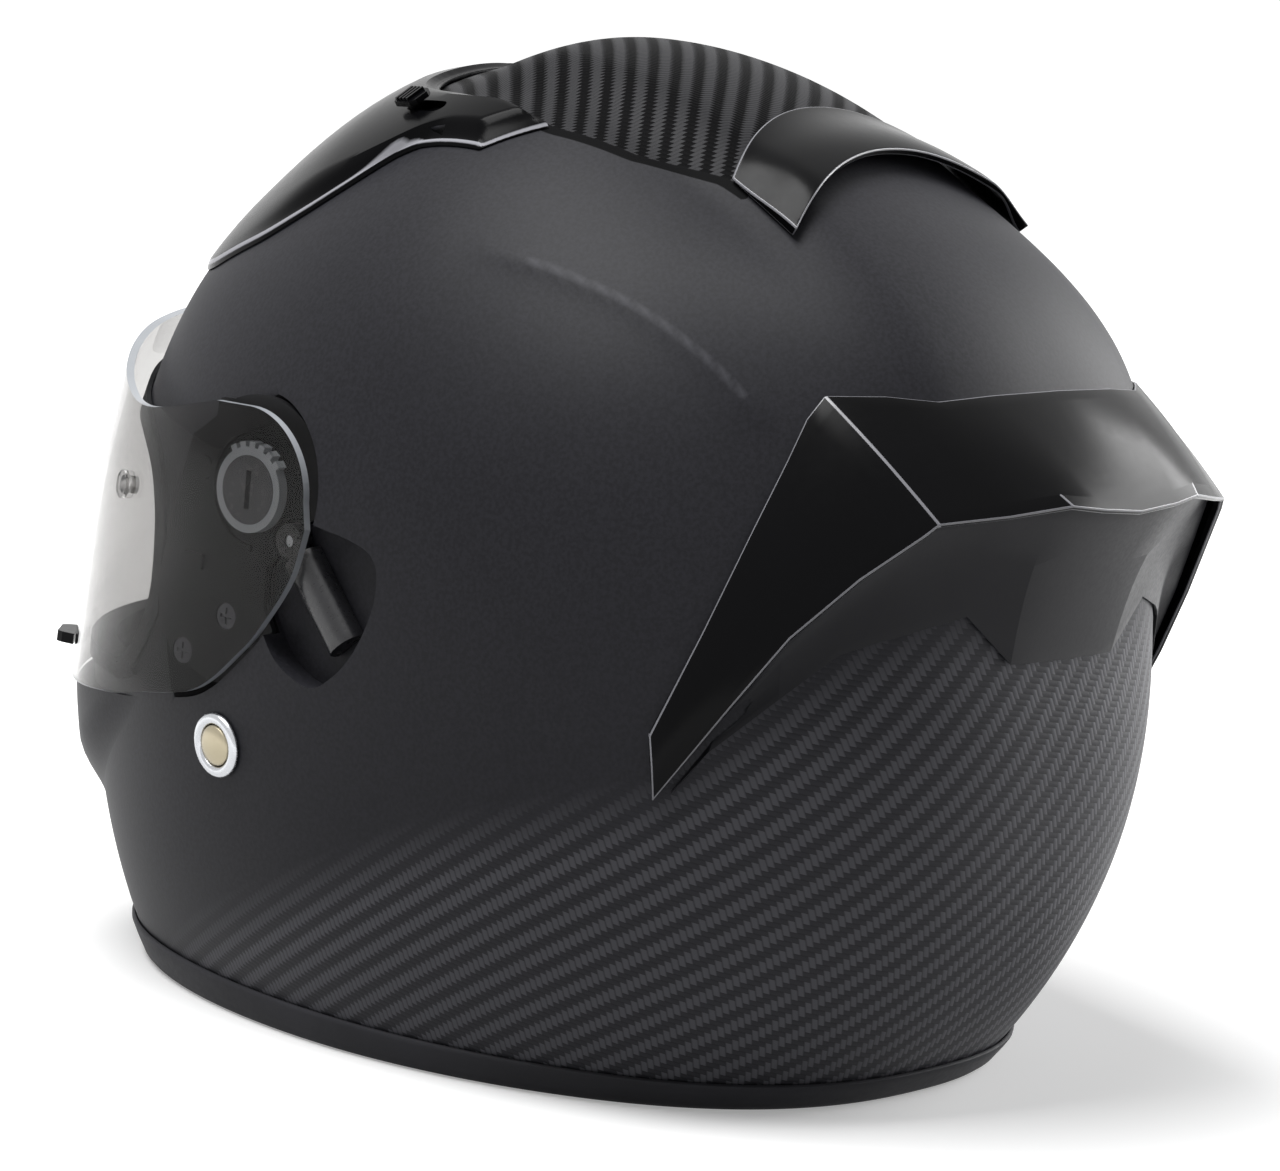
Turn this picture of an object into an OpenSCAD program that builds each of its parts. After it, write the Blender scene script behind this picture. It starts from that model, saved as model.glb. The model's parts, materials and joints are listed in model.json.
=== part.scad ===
// Full face motorcycle helmet standing on its bottom trim.
// The visor looks towards -Y, the wearer's left side is +X and +Z is up.
// Layers of the helmet are nested copies of one egg-like form that turns round a side axis.

/* [Shell] */
// Half of the shell's width at the side axis
half_width = 125.5; // [122:0.5:129]
// Height of the side axis over the table
axis_height = 135; // [132:0.5:138]
// Distance of the side axis in front of the middle of the part
axis_forward = 6.5; // [2:0.5:11]
// Reach from the side axis straight forward
reach_front = 143; // [140:0.5:146]
// Reach 30 degrees over the front
reach_brow = 136; // [133:0.5:138]
// Reach 60 degrees over the front
reach_forehead = 129.5; // [127:0.5:131]
// Reach straight up
reach_crown = 129; // [126:0.5:132]
// Reach 120 degrees over the front
reach_crown_back = 128.5; // [126:0.5:132]
// Reach 150 degrees over the front
reach_upper_rear = 140; // [137:0.5:143]
// Reach straight back
reach_rear = 150; // [147:0.5:153]
// Reach 30 degrees under the back
reach_nape = 168.5; // [166:0.5:172]
// Reach 60 degrees under the back
reach_low_rear = 186; // [182:0.5:190]
// Reach straight down, past the rim
reach_bottom = 205; // [200:1:210]
// Reach 60 degrees under the front
reach_low_front = 196.5; // [194:0.5:199]
// Reach 30 degrees under the front
reach_chin = 169; // [166:0.5:172]
// Thickness of the shell
shell_wall = 4; // [3:0.1:4.4]
// Height of the shell's lower edge over the table
shell_bottom = 5; // [4:0.5:6]
// Swell of the rear shell above the spoiler
tail_swell = 10; // [6:0.5:12]
// Rise of the band along the crown
crown_swell = 4.6; // [3:0.2:6]
// Bulge of the chin bar under the shield
chin_bulge = 5.4; // [3:0.2:6]

/* [Visor] */
// Distance of the visor pivot in front of the side axis
pivot_forward = 21.7; // [20:0.1:23]
// Height of the visor pivot over the side axis
pivot_rise = 11.6; // [10:0.1:13]
// Thickness of the clear shield
visor_wall = 2.2; // [1.8:0.1:2.6]
// Room between the widest part of the shell and the shield's arm, negative where the arm lies deeper
visor_inset = 0.7; // [0.3:0.1:1]
// Room between the shell and the shield, straight forward
visor_gap = 2.2; // [1.8:0.1:3]
// Room between the shell and the shield at the brow
visor_brow_gap = 7.6; // [7:0.1:8.5]
// How far the shield overlaps the eye port at the brow and the chin
visor_overlap = 11; // [9:0.5:13]
// Radius of the shield's round rear end
visor_end_r = 22; // [21:0.5:24]
// Radius of the fixed hub that carries the shield
hub_r = 9; // [8:0.5:10]
// Radial running clearance of the hub
hub_clearance = 0.05; // [0.03:0.01:0.09]
// Width of the ring on the shield that turns on the hub
hub_ring_w = 2.2; // [1.8:0.1:2.6]
// Depth of the mechanism's recess under the widest part of the shell
recess_depth = 7; // [6.5:0.1:7.5]
// Thickness of the mechanism's base plate
base_plate_t = 1.6; // [1.4:0.1:1.7]
// Length of the finger tab that stands out of the shield
tab_out = 5; // [4:0.5:7]

/* [Eye port] */
// Height of the port's upper edge over the pivot, at the front
port_top = 18; // [16:0.5:20]
// Depth of the port's lower edge under the pivot, at the front
port_drop = 57; // [55:0.5:60]
// Width of the rubber lip round the port
gasket_lip = 4; // [3:0.5:5]
// Height of the rubber lip over the shell
gasket_h = 1.6; // [1.2:0.1:2]

/* [Release levers] */
// Length of a release lever from its pin to its tip
lever_len = 31; // [28:0.5:32]
// Width of a release lever
lever_w = 10; // [8:0.2:10.4]
// Radius of a lever's pin
lever_pin_r = 1.5; // [1.2:0.1:1.8]
// Depth of the finger well under the widest part of the shell
well_depth = 8.5; // [8:0.1:9]

/* [Vents] */
// Height of the front vent cover over the shell
vent_h = 5.4; // [5:0.2:5.8]
// Height of the cover's flange, and of its nose, over the shell
vent_flange_h = 2.6; // [2.2:0.1:3]
// Travel of a vent slider
slider_travel = 10; // [8:0.5:12]
// Width of a slider's slot
slider_slot_w = 5; // [4:0.2:6]
// Clearance of a slider's stem in its slot, each side
slider_clearance = 0.3; // [0.2:0.05:0.5]
// Height of the rear exhaust cover over the shell
exhaust_h = 6; // [5:0.2:7]
// Half width of the chin vent
chin_vent_half = 34; // [30:1:38]
// Height of the chin vent's frame
chin_vent_h = 24; // [22:0.5:26]
// Travel of the chin vent's shutter
chin_travel = 6; // [5:0.5:7]

/* [Spoiler] */
// Thickness of the spoiler's skin
spoiler_wall = 2.8; // [2.4:0.1:3.4]
// How far the spoiler's tail stands off the shell
spoiler_tail = 29.5; // [26:0.5:31]
// Clearance between fixed pieces that lie on each other
seat_gap = 0.4; // [0.3:0.05:0.5]

/* [Trim and lining] */
// Height of the rubber trim at the middle of the helmet
trim_h = 9.5; // [8.5:0.5:11]
// How far the trim stands out of the shell
trim_out = 1.6; // [1.2:0.1:2.2]
// How far the trim reaches in from the shell's outer face
trim_in = 9; // [8:0.5:10]
// Thickness of the impact liner
liner_t = 33; // [30:0.5:35]
// Thickness of the crown pad
crown_pad_t = 8; // [6:0.5:9]
// Thickness of a cheek pad
cheek_pad_t = 27; // [24:0.5:28]
// Thickness of the chin bar's liner
chin_liner_t = 18; // [15:0.5:20]
// Radius of the strap rivets' silver rings
rivet_ring_r = 8.75; // [8:0.25:9.5]
// Radius of the rivets' domed heads
rivet_head_r = 6.2; // [5.5:0.1:6.5]
// Radius of the rivets' shanks
rivet_shank_r = 2.5; // [2:0.1:3]
// Width of the strap's webbing
strap_w = 24; // [20:1:26]
// Thickness of the webbing
strap_t = 2; // [1.6:0.1:2.4]
// Length of the buckle's body
buckle_len = 34; // [30:1:36]

/* [Hidden] */

axis_y = -axis_forward;
reaches = [
    reach_front, reach_brow, reach_forehead, reach_crown, reach_crown_back, reach_upper_rear,
    reach_rear, reach_nape, reach_low_rear, reach_bottom, reach_low_front, reach_chin
];
pivot = [axis_y - pivot_forward, axis_height + pivot_rise];
arm_inner_x = half_width - visor_inset;
// Distance from the pivot, in a direction a over the front, to a circle of radius r round the side axis
function pivot_to(r, a) =
    let (along = pivot_forward * cos(a) + pivot_rise * sin(a))
    sqrt(along * along - pivot_forward * pivot_forward - pivot_rise * pivot_rise + r * r) - along;
visor_reach = reach_front - pivot_forward + visor_gap;
visor_brow = pivot_to(reach_brow + visor_brow_gap, 30);
visor_back = visor_reach + 136.5;
visor_reaches = [
    visor_reach, visor_brow, visor_brow, visor_reach + 26.5, visor_reach + 76.5, visor_back,
    visor_back, visor_back, visor_back, visor_back, visor_reach + 106.5, visor_reach + 30.5
];
// A form is its half width, its reaches every 30 degrees, its axis, its squareness, the swing of that, and
// its swells
shell_form = [half_width, reaches, [axis_y, axis_height], 2.17, 0.15, tail_swell, 0];
plain_form = [half_width, reaches, [axis_y, axis_height], 2.17, 0.15, 0, 0];
chin_form = [half_width, reaches, [axis_y, axis_height], 2.17, 0.15, 0, chin_bulge];
vent_form = [half_width, reaches, [axis_y, axis_height], 2.17, 0.15, -(vent_h - vent_flange_h), -1];
visor_form = [arm_inner_x, visor_reaches, pivot, 1.97, 0, 0, 0];
recess_x = half_width - recess_depth;
well_x = half_width - well_depth;
boss_x = well_x - 3;
plate_x = recess_x + seat_gap;
plate_top_x = plate_x + base_plate_t;
recess_margin = 1.5;
plate_drop = 1.7;
plate_t = 1.8;
visor_pin_r = 2.4;
plate_screws = [[-22.4, -46.6], [-7.6, -34.9]];
screw_shank_r = 1.6;
screw_head_r = 3.4;
screw_seat_x = plate_x + 0.5;
stem_len = 5;
slider_pocket = slider_travel + 19;
liner_gap = 0.6;

function at(v, i) = v[(i + 2 * len(v)) % len(v)];
function ease(t) = let (s = min(1, max(0, t))) s * s * (3 - 2 * s);
function hermite(p0, p1, p2, p3, t) =
    (2 * t * t * t - 3 * t * t + 1) * p1 + (t * t * t - 2 * t * t + t) * (p2 - p0) / 2
    + (3 * t * t - 2 * t * t * t) * p2 + (t * t * t - t * t) * (p3 - p1) / 2;
// Value at an angle of a smooth closed curve through evenly spaced values
function ring_value(v, a) =
    let (s = (a - 360 * floor(a / 360)) / 360 * len(v), i = floor(s))
    hermite(at(v, i - 1), at(v, i), at(v, i + 1), at(v, i + 2), s - i);
// Smooth open line through points, n steps between neighbours
function smooth_line(p, n) = [
    for (i = [0 : len(p) - 2], k = [0 : n - 1])
        hermite(p[max(0, i - 1)], p[i], p[i + 1], p[min(len(p) - 1, i + 2)], k / n),
    p[len(p) - 1]
];
function tail_part(a, b) = ease((a - 126) / 30) * ease((188 - a) / 24) * ease((38 - abs(b)) / 24);
function crown_part(a, b) = ease((a - 74) / 15) * ease((152 - a) / 30) * ease((25.5 - abs(b)) / 11);
function chin_part(a, b) = ease((a - 320.5) / 7) * ease((356 - a) / 12) * ease((66 - abs(b)) / 24);
function nose_part(a) = ease((66 - a) / 24);
crown_share = crown_swell / tail_swell;
function back_part(a, b) = tail_part(a, b) + crown_share * crown_part(a, b);
function swell(f, a, b) = f[6] < 0 ? f[5] * nose_part(a) : f[5] * back_part(a, b) + f[6] * chin_part(a, b);
// Point of a form at a stand-off, a longitude a over the front and a latitude b towards the left side
function form_point(f, off, a, b) =
    let (
        n = f[3] - f[4] * (sin(a) + cos(a)),
        h = off + swell(f, a, b),
        c = (ring_value(f[1], a) + h) * pow(max(0, cos(b)), 2 / n)
    )
    [(f[0] + h) * sign(b) * pow(abs(sin(b)), 2 / n), f[2][0] - c * cos(a), f[2][1] + c * sin(a)];
function skin(off, a, b) = form_point(plain_form, off, a, b);
function unit(v) = v / norm(v);
function skin_normal(a, b) =
    unit(cross(skin(0, a, b + 0.5) - skin(0, a, b - 0.5), skin(0, a + 0.5, b) - skin(0, a - 0.5, b)));
// Sideways place of a form's surface over a point of the side view
function form_x(f, off, p) =
    let (
        d = p - f[2],
        a = atan2(d[1], -d[0]),
        n = f[3] - f[4] * (sin(a) + cos(a)),
        q = 1 - pow(norm(d) / (ring_value(f[1], a) + off), n)
    )
    (f[0] + off) * pow(max(0, q), 1 / n);
// Frame with its z axis along n, its x axis close to d and its origin at q
function frame_at(q, n, d) =
    let (x = unit(d - (d * n) * n), y = cross(n, x))
    [[x[0], y[0], n[0], q[0]], [x[1], y[1], n[1], q[1]], [x[2], y[2], n[2], q[2]], [0, 0, 0, 1]];
function arc(r, a0, a1, n) = [for (i = [0 : n]) let (a = a0 + (a1 - a0) * i / n) [r * cos(a), r * sin(a)]];
// Points of a side outline are [behind, above] the visor pivot

// Side outline of the clear shield, closed far in front of the helmet
visor_front = -190;
visor_low = -(port_drop + visor_overlap + 0.5);
visor_high = port_top + visor_overlap + 4;
visor_outline = concat(
    smooth_line([
        [visor_front, visor_low], [-100, visor_low + 0.5], [-57, -64.5], [-39, -61], [-15, -55.5],
        [2.6, -42], [11.4, -32], [19.2, -20], [visor_end_r * 1.05, -7]
    ], 3),
    arc(visor_end_r, 0, 90, 7),
    smooth_line([
        [-14, visor_end_r - 0.5], [-36, 16.5], [-49, 14.7], [-60, 15.5], [-75, 19.5], [-90, 25],
        [-105, visor_high - 3], [-125, visor_high], [visor_front, visor_high + 2]
    ], 3)
);
port_rear = -37.5;
port_outline = concat(
    smooth_line([
        [-220, -port_drop], [-70, -port_drop], [-54, 1.5 - port_drop], [-44, -47], [port_rear - 0.5, -36],
        [port_rear, -25], [-41, -12], [-49, -1], [-62, 6], [-80, 10], [-110, port_top - 1], [-220, port_top + 3]
    ], 3)
);
lever_pin_at = [13.5, -11.5];
lever_angle = -49;
lever_root_r = 4.6;
well_outline = smooth_line([
    [6, -20], [18, -6.5], [30, -6], [45, -10], [47.5, -21], [42, -35], [34, -44], [26, -47.5], [14, -42],
    [6, -30]
], 4);
boss_margin = 6;

// Plan outline of the front vent cover, [left, behind the side axis], left half from the nose to the horn
vent_nose = -122;
vent_wide = half_width / 125.5;
vent_half = [for (p = [
    [0, vent_nose], [26, vent_nose + 2], [46, vent_nose + 9], [64, vent_nose + 21], [79, -84], [87.5, -62],
    [88.5, -45], [85, -30.7], [78.7, -19.7], [76.6, -14.8], [76.3, 6], [63.4, 18.3], [61.5, 7.5], [58.5, -10],
    [53, -26], [44, -38], [28, -46], [0, -49]
]) [p[0] * vent_wide, p[1]]];
function mirrored(p) = concat(p, [for (i = [len(p) - 1 : -1 : 0]) [-p[i][0], p[i][1]]]);
slot_a = 79;
slot_b = 31;
vent_frame = frame_at(skin(0, slot_a, slot_b), skin_normal(slot_a, slot_b), [0.2, 1, 0]);
rivet_a = 296.5;
rivet_b = 73.5;
rivet_frame = frame_at(skin(0, rivet_a, rivet_b), skin_normal(rivet_a, rivet_b), [0, 0, 1]);
chin_a = 332.5;
chin_frame = frame_at(form_point(chin_form, 0, chin_a, 0), skin_normal(chin_a, 0), [0, 0, 1]);
strap_at = rivet_frame[1][3];
strap_z = rivet_frame[2][3] - 4;
pad_face_x = half_width - shell_wall - liner_t - cheek_pad_t;

// Closed solid of a form at a stand-off
module form_solid(f, off, na = 48, nb = 24) {
    rows = nb - 1;
    points = concat(
        [[-f[0] - off, f[2][0], f[2][1]]],
        [for (j = [1 : rows], i = [0 : na - 1]) form_point(f, off, 360 * i / na, -90 + 180 * j / nb)],
        [[f[0] + off, f[2][0], f[2][1]]]
    );
    top = 1 + rows * na;
    faces = concat(
        [for (i = [0 : na - 1]) [0, 1 + (i + 1) % na, 1 + i]],
        [for (j = [0 : rows - 2], i = [0 : na - 1])
            [1 + j * na + i, 1 + j * na + (i + 1) % na, 1 + (j + 1) * na + (i + 1) % na]],
        [for (j = [0 : rows - 2], i = [0 : na - 1])
            [1 + j * na + i, 1 + (j + 1) * na + (i + 1) % na, 1 + (j + 1) * na + i]],
        [for (i = [0 : na - 1]) [top, 1 + (rows - 1) * na + i, 1 + (rows - 1) * na + (i + 1) % na]]
    );
    polyhedron(points, faces);
}
// Closed layer of a form between two stand-offs
module layer(f, low, high, na = 48, nb = 24) {
    difference() {
        form_solid(f, high, na, nb);
        form_solid(f, low, na, nb);
    }
}
// Everything between a deep stand-off on the coarser grid of the shell's inside and a higher one
module wall(f, low, high) {
    difference() {
        form_solid(f, high);
        form_solid(plain_form, low, 32, 16);
    }
}
// Side view outline pushed along X from x0 to x1
module across(x0, x1, origin = pivot) {
    translate([x0, origin[0], origin[1]]) rotate([90, 0, 90]) linear_extrude(x1 - x0) children();
}
// Plan outline behind the side axis, pushed up from z0 to z1
module upright(z0, z1) {
    translate([0, axis_y, z0]) linear_extrude(z1 - z0) children();
}
// Free curved solids come out as one mesh
module moulded() {
    resize([0, 0, 0]) children();
}
module on_side(side) {
    mirror([side < 0 ? 1 : 0, 0, 0]) children();
}
module both_sides() {
    children();
    mirror([1, 0, 0]) children();
}
// Everything over, or under, a slanted plane through the trim's top line
module trim_side(above, gap = 0) {
    tilt = 0.012;
    s = above ? 400 : -400;
    across(-300, 300, [0, 0])
        polygon([[-300, trim_h + gap + 300 * tilt], [300, trim_h + gap - 300 * tilt], [300, s], [-300, s]]);
}
// Two triangles between an edge of the outer grid and the same edge of the inner one
function side_faces(p, q, m) = [[p, m + p, m + q], [p, m + q, q]];
// Solid between two grids of points, rows of equal length
module slab(outer, inner) {
    nr = len(outer);
    nc = len(outer[0]);
    points = concat([for (r = outer) each r], [for (r = inner) each r]);
    m = nr * nc;
    function id(r, c) = r * nc + c;
    faces = concat(
        [for (r = [0 : nr - 2], c = [0 : nc - 2]) [id(r, c), id(r + 1, c), id(r + 1, c + 1)]],
        [for (r = [0 : nr - 2], c = [0 : nc - 2]) [id(r, c), id(r + 1, c + 1), id(r, c + 1)]],
        [for (r = [0 : nr - 2], c = [0 : nc - 2]) [m + id(r, c), m + id(r + 1, c + 1), m + id(r + 1, c)]],
        [for (r = [0 : nr - 2], c = [0 : nc - 2]) [m + id(r, c), m + id(r, c + 1), m + id(r + 1, c + 1)]],
        [for (r = [0 : nr - 2], e = side_faces(id(r, 0), id(r + 1, 0), m)) e],
        [for (r = [0 : nr - 2], e = side_faces(id(r + 1, nc - 1), id(r, nc - 1), m)) e],
        [for (c = [0 : nc - 2], e = side_faces(id(0, c + 1), id(0, c), m)) e],
        [for (c = [0 : nc - 2], e = side_faces(id(nr - 1, c), id(nr - 1, c + 1), m)) e]
    );
    polyhedron(points, faces);
}

module recess_shape(extra = 0) {
    offset(delta = recess_margin + extra) polygon(visor_outline);
    circle(visor_end_r + 3.5 + extra, $fn = 48);
}
module well_shape(extra = 0) {
    offset(delta = extra) polygon(well_outline);
    translate(lever_pin_at) circle(lever_root_r + 0.8 + extra, $fn = 32);
}
module boss_shape(extra = 0) {
    intersection() {
        union() {
            circle(visor_end_r + 3 + boss_margin + extra, $fn = 32);
            well_shape(boss_margin + extra);
            translate([-48, -54 - extra]) square([55, 80]);
        }
        translate([port_rear + 3 - extra, -75]) square([120, 160]);
    }
}

charcoal = "#3b3b3f";
gloss_black = "#131315";
satin_black = "#2b2b2e";
rubber_black = "#1d1d1f";
clear_grey = [0.78, 0.82, 0.86, 0.45];
bright_steel = "#c9ccd0";
champagne = "#d8cfb6";
foam_black = "#27272a";
cloth_grey = "#46464b";
webbing_black = "#17171a";

module outer_shell() {
    color(charcoal) moulded() difference() {
        union() {
            difference() {
                union() {
                    form_solid(shell_form, 0);
                    difference() {
                        form_solid(chin_form, 0);
                        across(-300, 300) offset(delta = 1.4) polygon(visor_outline);
                    }
                }
                form_solid(plain_form, -shell_wall, 32, 16);
            }
            intersection() {
                form_solid(plain_form, -1, 32, 16);
                both_sides() across(boss_x, half_width) boss_shape();
            }
        }
        translate([-300, -300, -300]) cube([600, 600, 300 + shell_bottom]);
        across(-300, 300) polygon(port_outline);
        both_sides() {
            across(recess_x, half_width + 20) recess_shape();
            across(well_x, half_width + 20) well_shape();
            across(boss_x - 1, half_width, pivot + lever_pin_at) circle(lever_pin_r + 0.15, $fn = 20);
            for (p = plate_screws)
                across(boss_x - 1, half_width, pivot + p) circle(screw_shank_r + 0.2, $fn = 20);
            multmatrix(rivet_frame) translate([0, 0, -20]) cylinder(r = rivet_shank_r + 0.3, h = 40, $fn = 24);
            multmatrix(vent_frame) translate([0, 0, -20]) cylinder(r = 6, h = 40, $fn = 24);
            multmatrix(intake_frame) translate([0, 0, -20]) cylinder(r = 6, h = 40, $fn = 24);
            multmatrix(exhaust_frame) translate([0, 0, -20]) cylinder(r = 5, h = 40, $fn = 24);
        }
        facing(-300, axis_y - 60) square_ring(chin_mouth[0] - 2, chin_mouth[1] + 1, chin_mouth[2] - 1, 3);
    }
}
module eyeport_gasket() {
    color(rubber_black) moulded() difference() {
        intersection() {
            wall(plain_form, -shell_wall - gasket_h, gasket_h);
            across(-300, 300) offset(delta = gasket_lip) polygon(port_outline);
        }
        across(-300, 300) offset(delta = -1.2) polygon(port_outline);
        difference() {
            wall(plain_form, -shell_wall - 0.3, 0.3);
            across(-300, 300) offset(delta = -0.3) polygon(port_outline);
        }
        both_sides() {
            across(recess_x - 0.3, half_width + 20) recess_shape(0.3);
            across(boss_x - 6, recess_x + 6) boss_shape(0.3);
        }
    }
}
module bottom_trim() {
    color(rubber_black) moulded() difference() {
        intersection() {
            wall(plain_form, -trim_in, trim_out);
            translate([-300, -300, 0]) cube([600, 600, 60]);
            trim_side(false);
        }
        intersection() {
            wall(plain_form, -shell_wall - 0.3, 0.3);
            translate([-300, -300, shell_bottom - 0.3]) cube([600, 600, 60]);
        }
    }
}
module visor_shield() {
    color(clear_grey) moulded() difference() {
        intersection() {
            layer(visor_form, 0, visor_wall);
            across(-300, 300) polygon(visor_outline);
        }
        both_sides() multmatrix(visor_pin_frame) translate([0, 0, -5])
            cylinder(r = visor_pin_r + 0.15, h = 12, $fn = 24);
    }
}
module visor_tab() {
    color(gloss_black) multmatrix(visor_tab_frame)
        translate([0, 0, visor_wall + 0.2])
            rotate([0, 90, 0]) translate([0, 0, -1.5])
                linear_extrude(3) polygon([
                    [0, -8], [0, 8], [1.5 - tab_out, 6.5], [-tab_out, 5], [-tab_out, -5], [1.5 - tab_out, -6.5]
                ]);
}
module visor_ring(side) {
    ring_r = hub_r + hub_clearance + hub_ring_w;
    x0 = plate_top_x + seat_gap;
    x1 = arm_inner_x - 1;
    color(gloss_black) on_side(side) translate([x0, pivot[0], pivot[1]]) rotate([0, 90, 0]) difference() {
        union() {
            cylinder(r = ring_r, h = x1 - x0, $fn = 64);
            for (a = [130 : 16 : 210]) rotate(a) translate([ring_r - 0.6, -1, 0]) cube([2, 2, x1 - x0]);
        }
        translate([0, 0, -1]) cylinder(r = hub_r + hub_clearance, h = 10, $fn = 64);
    }
}
module visor_pin(side) {
    color(gloss_black) on_side(side) multmatrix(visor_pin_frame) {
        translate([0, 0, -1.6]) cylinder(r = visor_pin_r, h = visor_wall + 2.2, $fn = 32);
        translate([0, 0, visor_wall + 0.3]) cylinder(r = visor_pin_r + 1.4, h = 1.1, $fn = 32);
    }
}
module pivot_hub(side) {
    color(satin_black) on_side(side) translate([plate_top_x, pivot[0], pivot[1]]) rotate([0, 90, 0])
        difference() {
            cylinder(r = hub_r, h = arm_inner_x - 0.9 - plate_top_x, $fn = 64);
            translate([-5, -0.9, 1.6]) cube([10, 1.8, 5]);
        }
}
plate_front = [
    [-14, 40], [-16, 17], [-24, 11], [-27, 0], [-31, -18], [-33, -30], [-31, -42], [-26, -48], [-12, -53],
    [40, -53], [40, 40]
];
module base_plate(side) {
    color(satin_black) on_side(side) difference() {
        union() {
            across(plate_x, plate_top_x) difference() {
                intersection() {
                    recess_shape(-0.8);
                    polygon(plate_front);
                }
                well_shape(0.5);
            }
            across(plate_top_x - 0.1, plate_top_x + 0.9) {
                translate([-24, -24]) square([7, 4]);
                translate([-19, 3]) circle(r = 3.2, $fn = 24);
                difference() {
                    circle(r = 16.5, $fn = 48);
                    circle(r = 14.8, $fn = 48);
                    translate([0, -40]) square([40, 80]);
                }
            }
        }
        for (p = plate_screws) {
            across(plate_x - 1, plate_top_x + 5, pivot + p) circle(r = screw_shank_r + 0.05, $fn = 32);
            across(screw_seat_x, plate_top_x + 5, pivot + p) circle(r = screw_head_r + 0.1, $fn = 32);
        }
    }
}
module plate_screw(side, p) {
    top = plate_top_x - 0.2;
    color(bright_steel) on_side(side) difference() {
        union() {
            across(recess_x - 2.5, screw_seat_x + 0.1, pivot + p) circle(r = screw_shank_r, $fn = 32);
            across(screw_seat_x, top, pivot + p) circle(r = screw_head_r, $fn = 32);
        }
        across(top - 0.5, top + 1, pivot + p) {
            square([4.4, 0.9], center = true);
            square([0.9, 4.4], center = true);
        }
    }
}
function stadium(r0, r1, len) = concat(
    [for (a = [90 : 15 : 270]) r0 * [cos(a), sin(a)]],
    [for (a = [-90 : 15 : 90]) [len - r1, 0] + r1 * [cos(a), sin(a)]]
);
// The grip stands up behind the shield, and the flat root passes under the shield's arm
module release_lever(side) {
    x0 = well_x + seat_gap;
    dome_r = 7;
    root_t = 3.8;
    root_len = 12;
    color(gloss_black) on_side(side)
        translate([x0, pivot[0] + lever_pin_at[0], pivot[1] + lever_pin_at[1]])
            rotate([lever_angle, 0, 0]) difference() {
                intersection() {
                    rotate([90, 0, 90]) linear_extrude(6.4)
                        polygon(stadium(lever_root_r, lever_w / 2, lever_len));
                    translate([-1, -20, 0]) rotate([-90, 0, 0]) cylinder(r = dome_r, h = 80, $fn = 64);
                }
                translate([root_t, -20, -20]) cube([20, 20 + root_len, 40]);
                translate([-1, 0, 0]) rotate([0, 90, 0]) cylinder(r = lever_pin_r + 0.05, h = 20, $fn = 48);
            }
}
module lever_pin(side) {
    color(bright_steel) on_side(side)
        translate([boss_x + 0.5, pivot[0] + lever_pin_at[0], pivot[1] + lever_pin_at[1]])
            rotate([0, 90, 0]) cylinder(r = lever_pin_r, h = well_x - boss_x + 3.4, $fn = 48);
}
module front_vent_cover() {
    passage = [for (p = [[18, -150], [50, -150], [64, -52], [32, -58]]) [p[0] * vent_wide, p[1]]];
    color(gloss_black) moulded() difference() {
        union() {
            intersection() {
                layer(plain_form, seat_gap, vent_flange_h);
                upright(axis_height, 400) polygon(mirrored(vent_half));
            }
            intersection() {
                difference() {
                    form_solid(vent_form, vent_h);
                    form_solid(plain_form, seat_gap);
                }
                upright(axis_height, 400) offset(delta = -2.4) polygon(mirrored(vent_half));
            }
        }
        both_sides() {
            multmatrix(vent_frame) {
                translate([-slider_pocket / 2, -9.5, -20]) cube([slider_pocket, 19, 20 + vent_h - 2.2]);
                slot(slider_slot_w, slider_travel + stem_len + 2 * slider_clearance, -5, 20);
            }
            intersection() {
                form_solid(plain_form, 1.4);
                upright(axis_height, 400) polygon(passage);
            }
        }
    }
}
module slot(w, len, z0, z1) {
    translate([0, 0, z0]) linear_extrude(z1 - z0) {
        square([len - w, w], center = true);
        for (s = [-1, 1]) translate([s * (len - w) / 2, 0]) circle(r = w / 2, $fn = 32);
    }
}
module vent_slider(side) {
    color(gloss_black) on_side(side) multmatrix(vent_frame) translate([-slider_travel / 2, 0, 0]) {
        translate([-8, -7.5, 1.2]) cube([16, 15, 1.2]);
        slot(slider_slot_w - 2 * slider_clearance, stem_len, 2.3, vent_h + 0.8);
        translate([0, 0, vent_h + 0.7]) linear_extrude(1.6)
            polygon([
                [-4.8, -2], [-3.4, -3.6], [3.4, -3.6], [4.8, -2], [4.8, 2], [3.4, 3.6], [-3.4, 3.6], [-4.8, 2]
            ]);
        for (x = [-2.8 : 1.6 : 2.8]) translate([x - 0.4, -3, vent_h + 2.2]) cube([0.8, 6, 0.9]);
    }
}
module rear_exhaust_cover() {
    cols = [for (b = [-21 : 3.5 : 21]) b];
    rows = [0 : 0.2 : 1];
    function place(off, t, b) = form_point(shell_form, off, 115.5 + 8.8 * pow(b / 21.6, 2) + t * 11.3, b);
    function top(t, b) = 1.6 + (exhaust_h - 1.6) * ease(t) * (0.55 + 0.45 * ease((21 - abs(b)) / 7));
    function under(t, b) = 0.7 + (exhaust_h - 2.8) * ease(t * 1.4 - 0.2) * ease((21 - abs(b)) / 5);
    outer = [for (t = rows) [for (b = cols) place(top(t, b), t, b)]];
    inner = [for (t = rows) [for (b = cols) place(under(t, b), t, b)]];
    color(gloss_black) slab(outer, inner);
}

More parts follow.
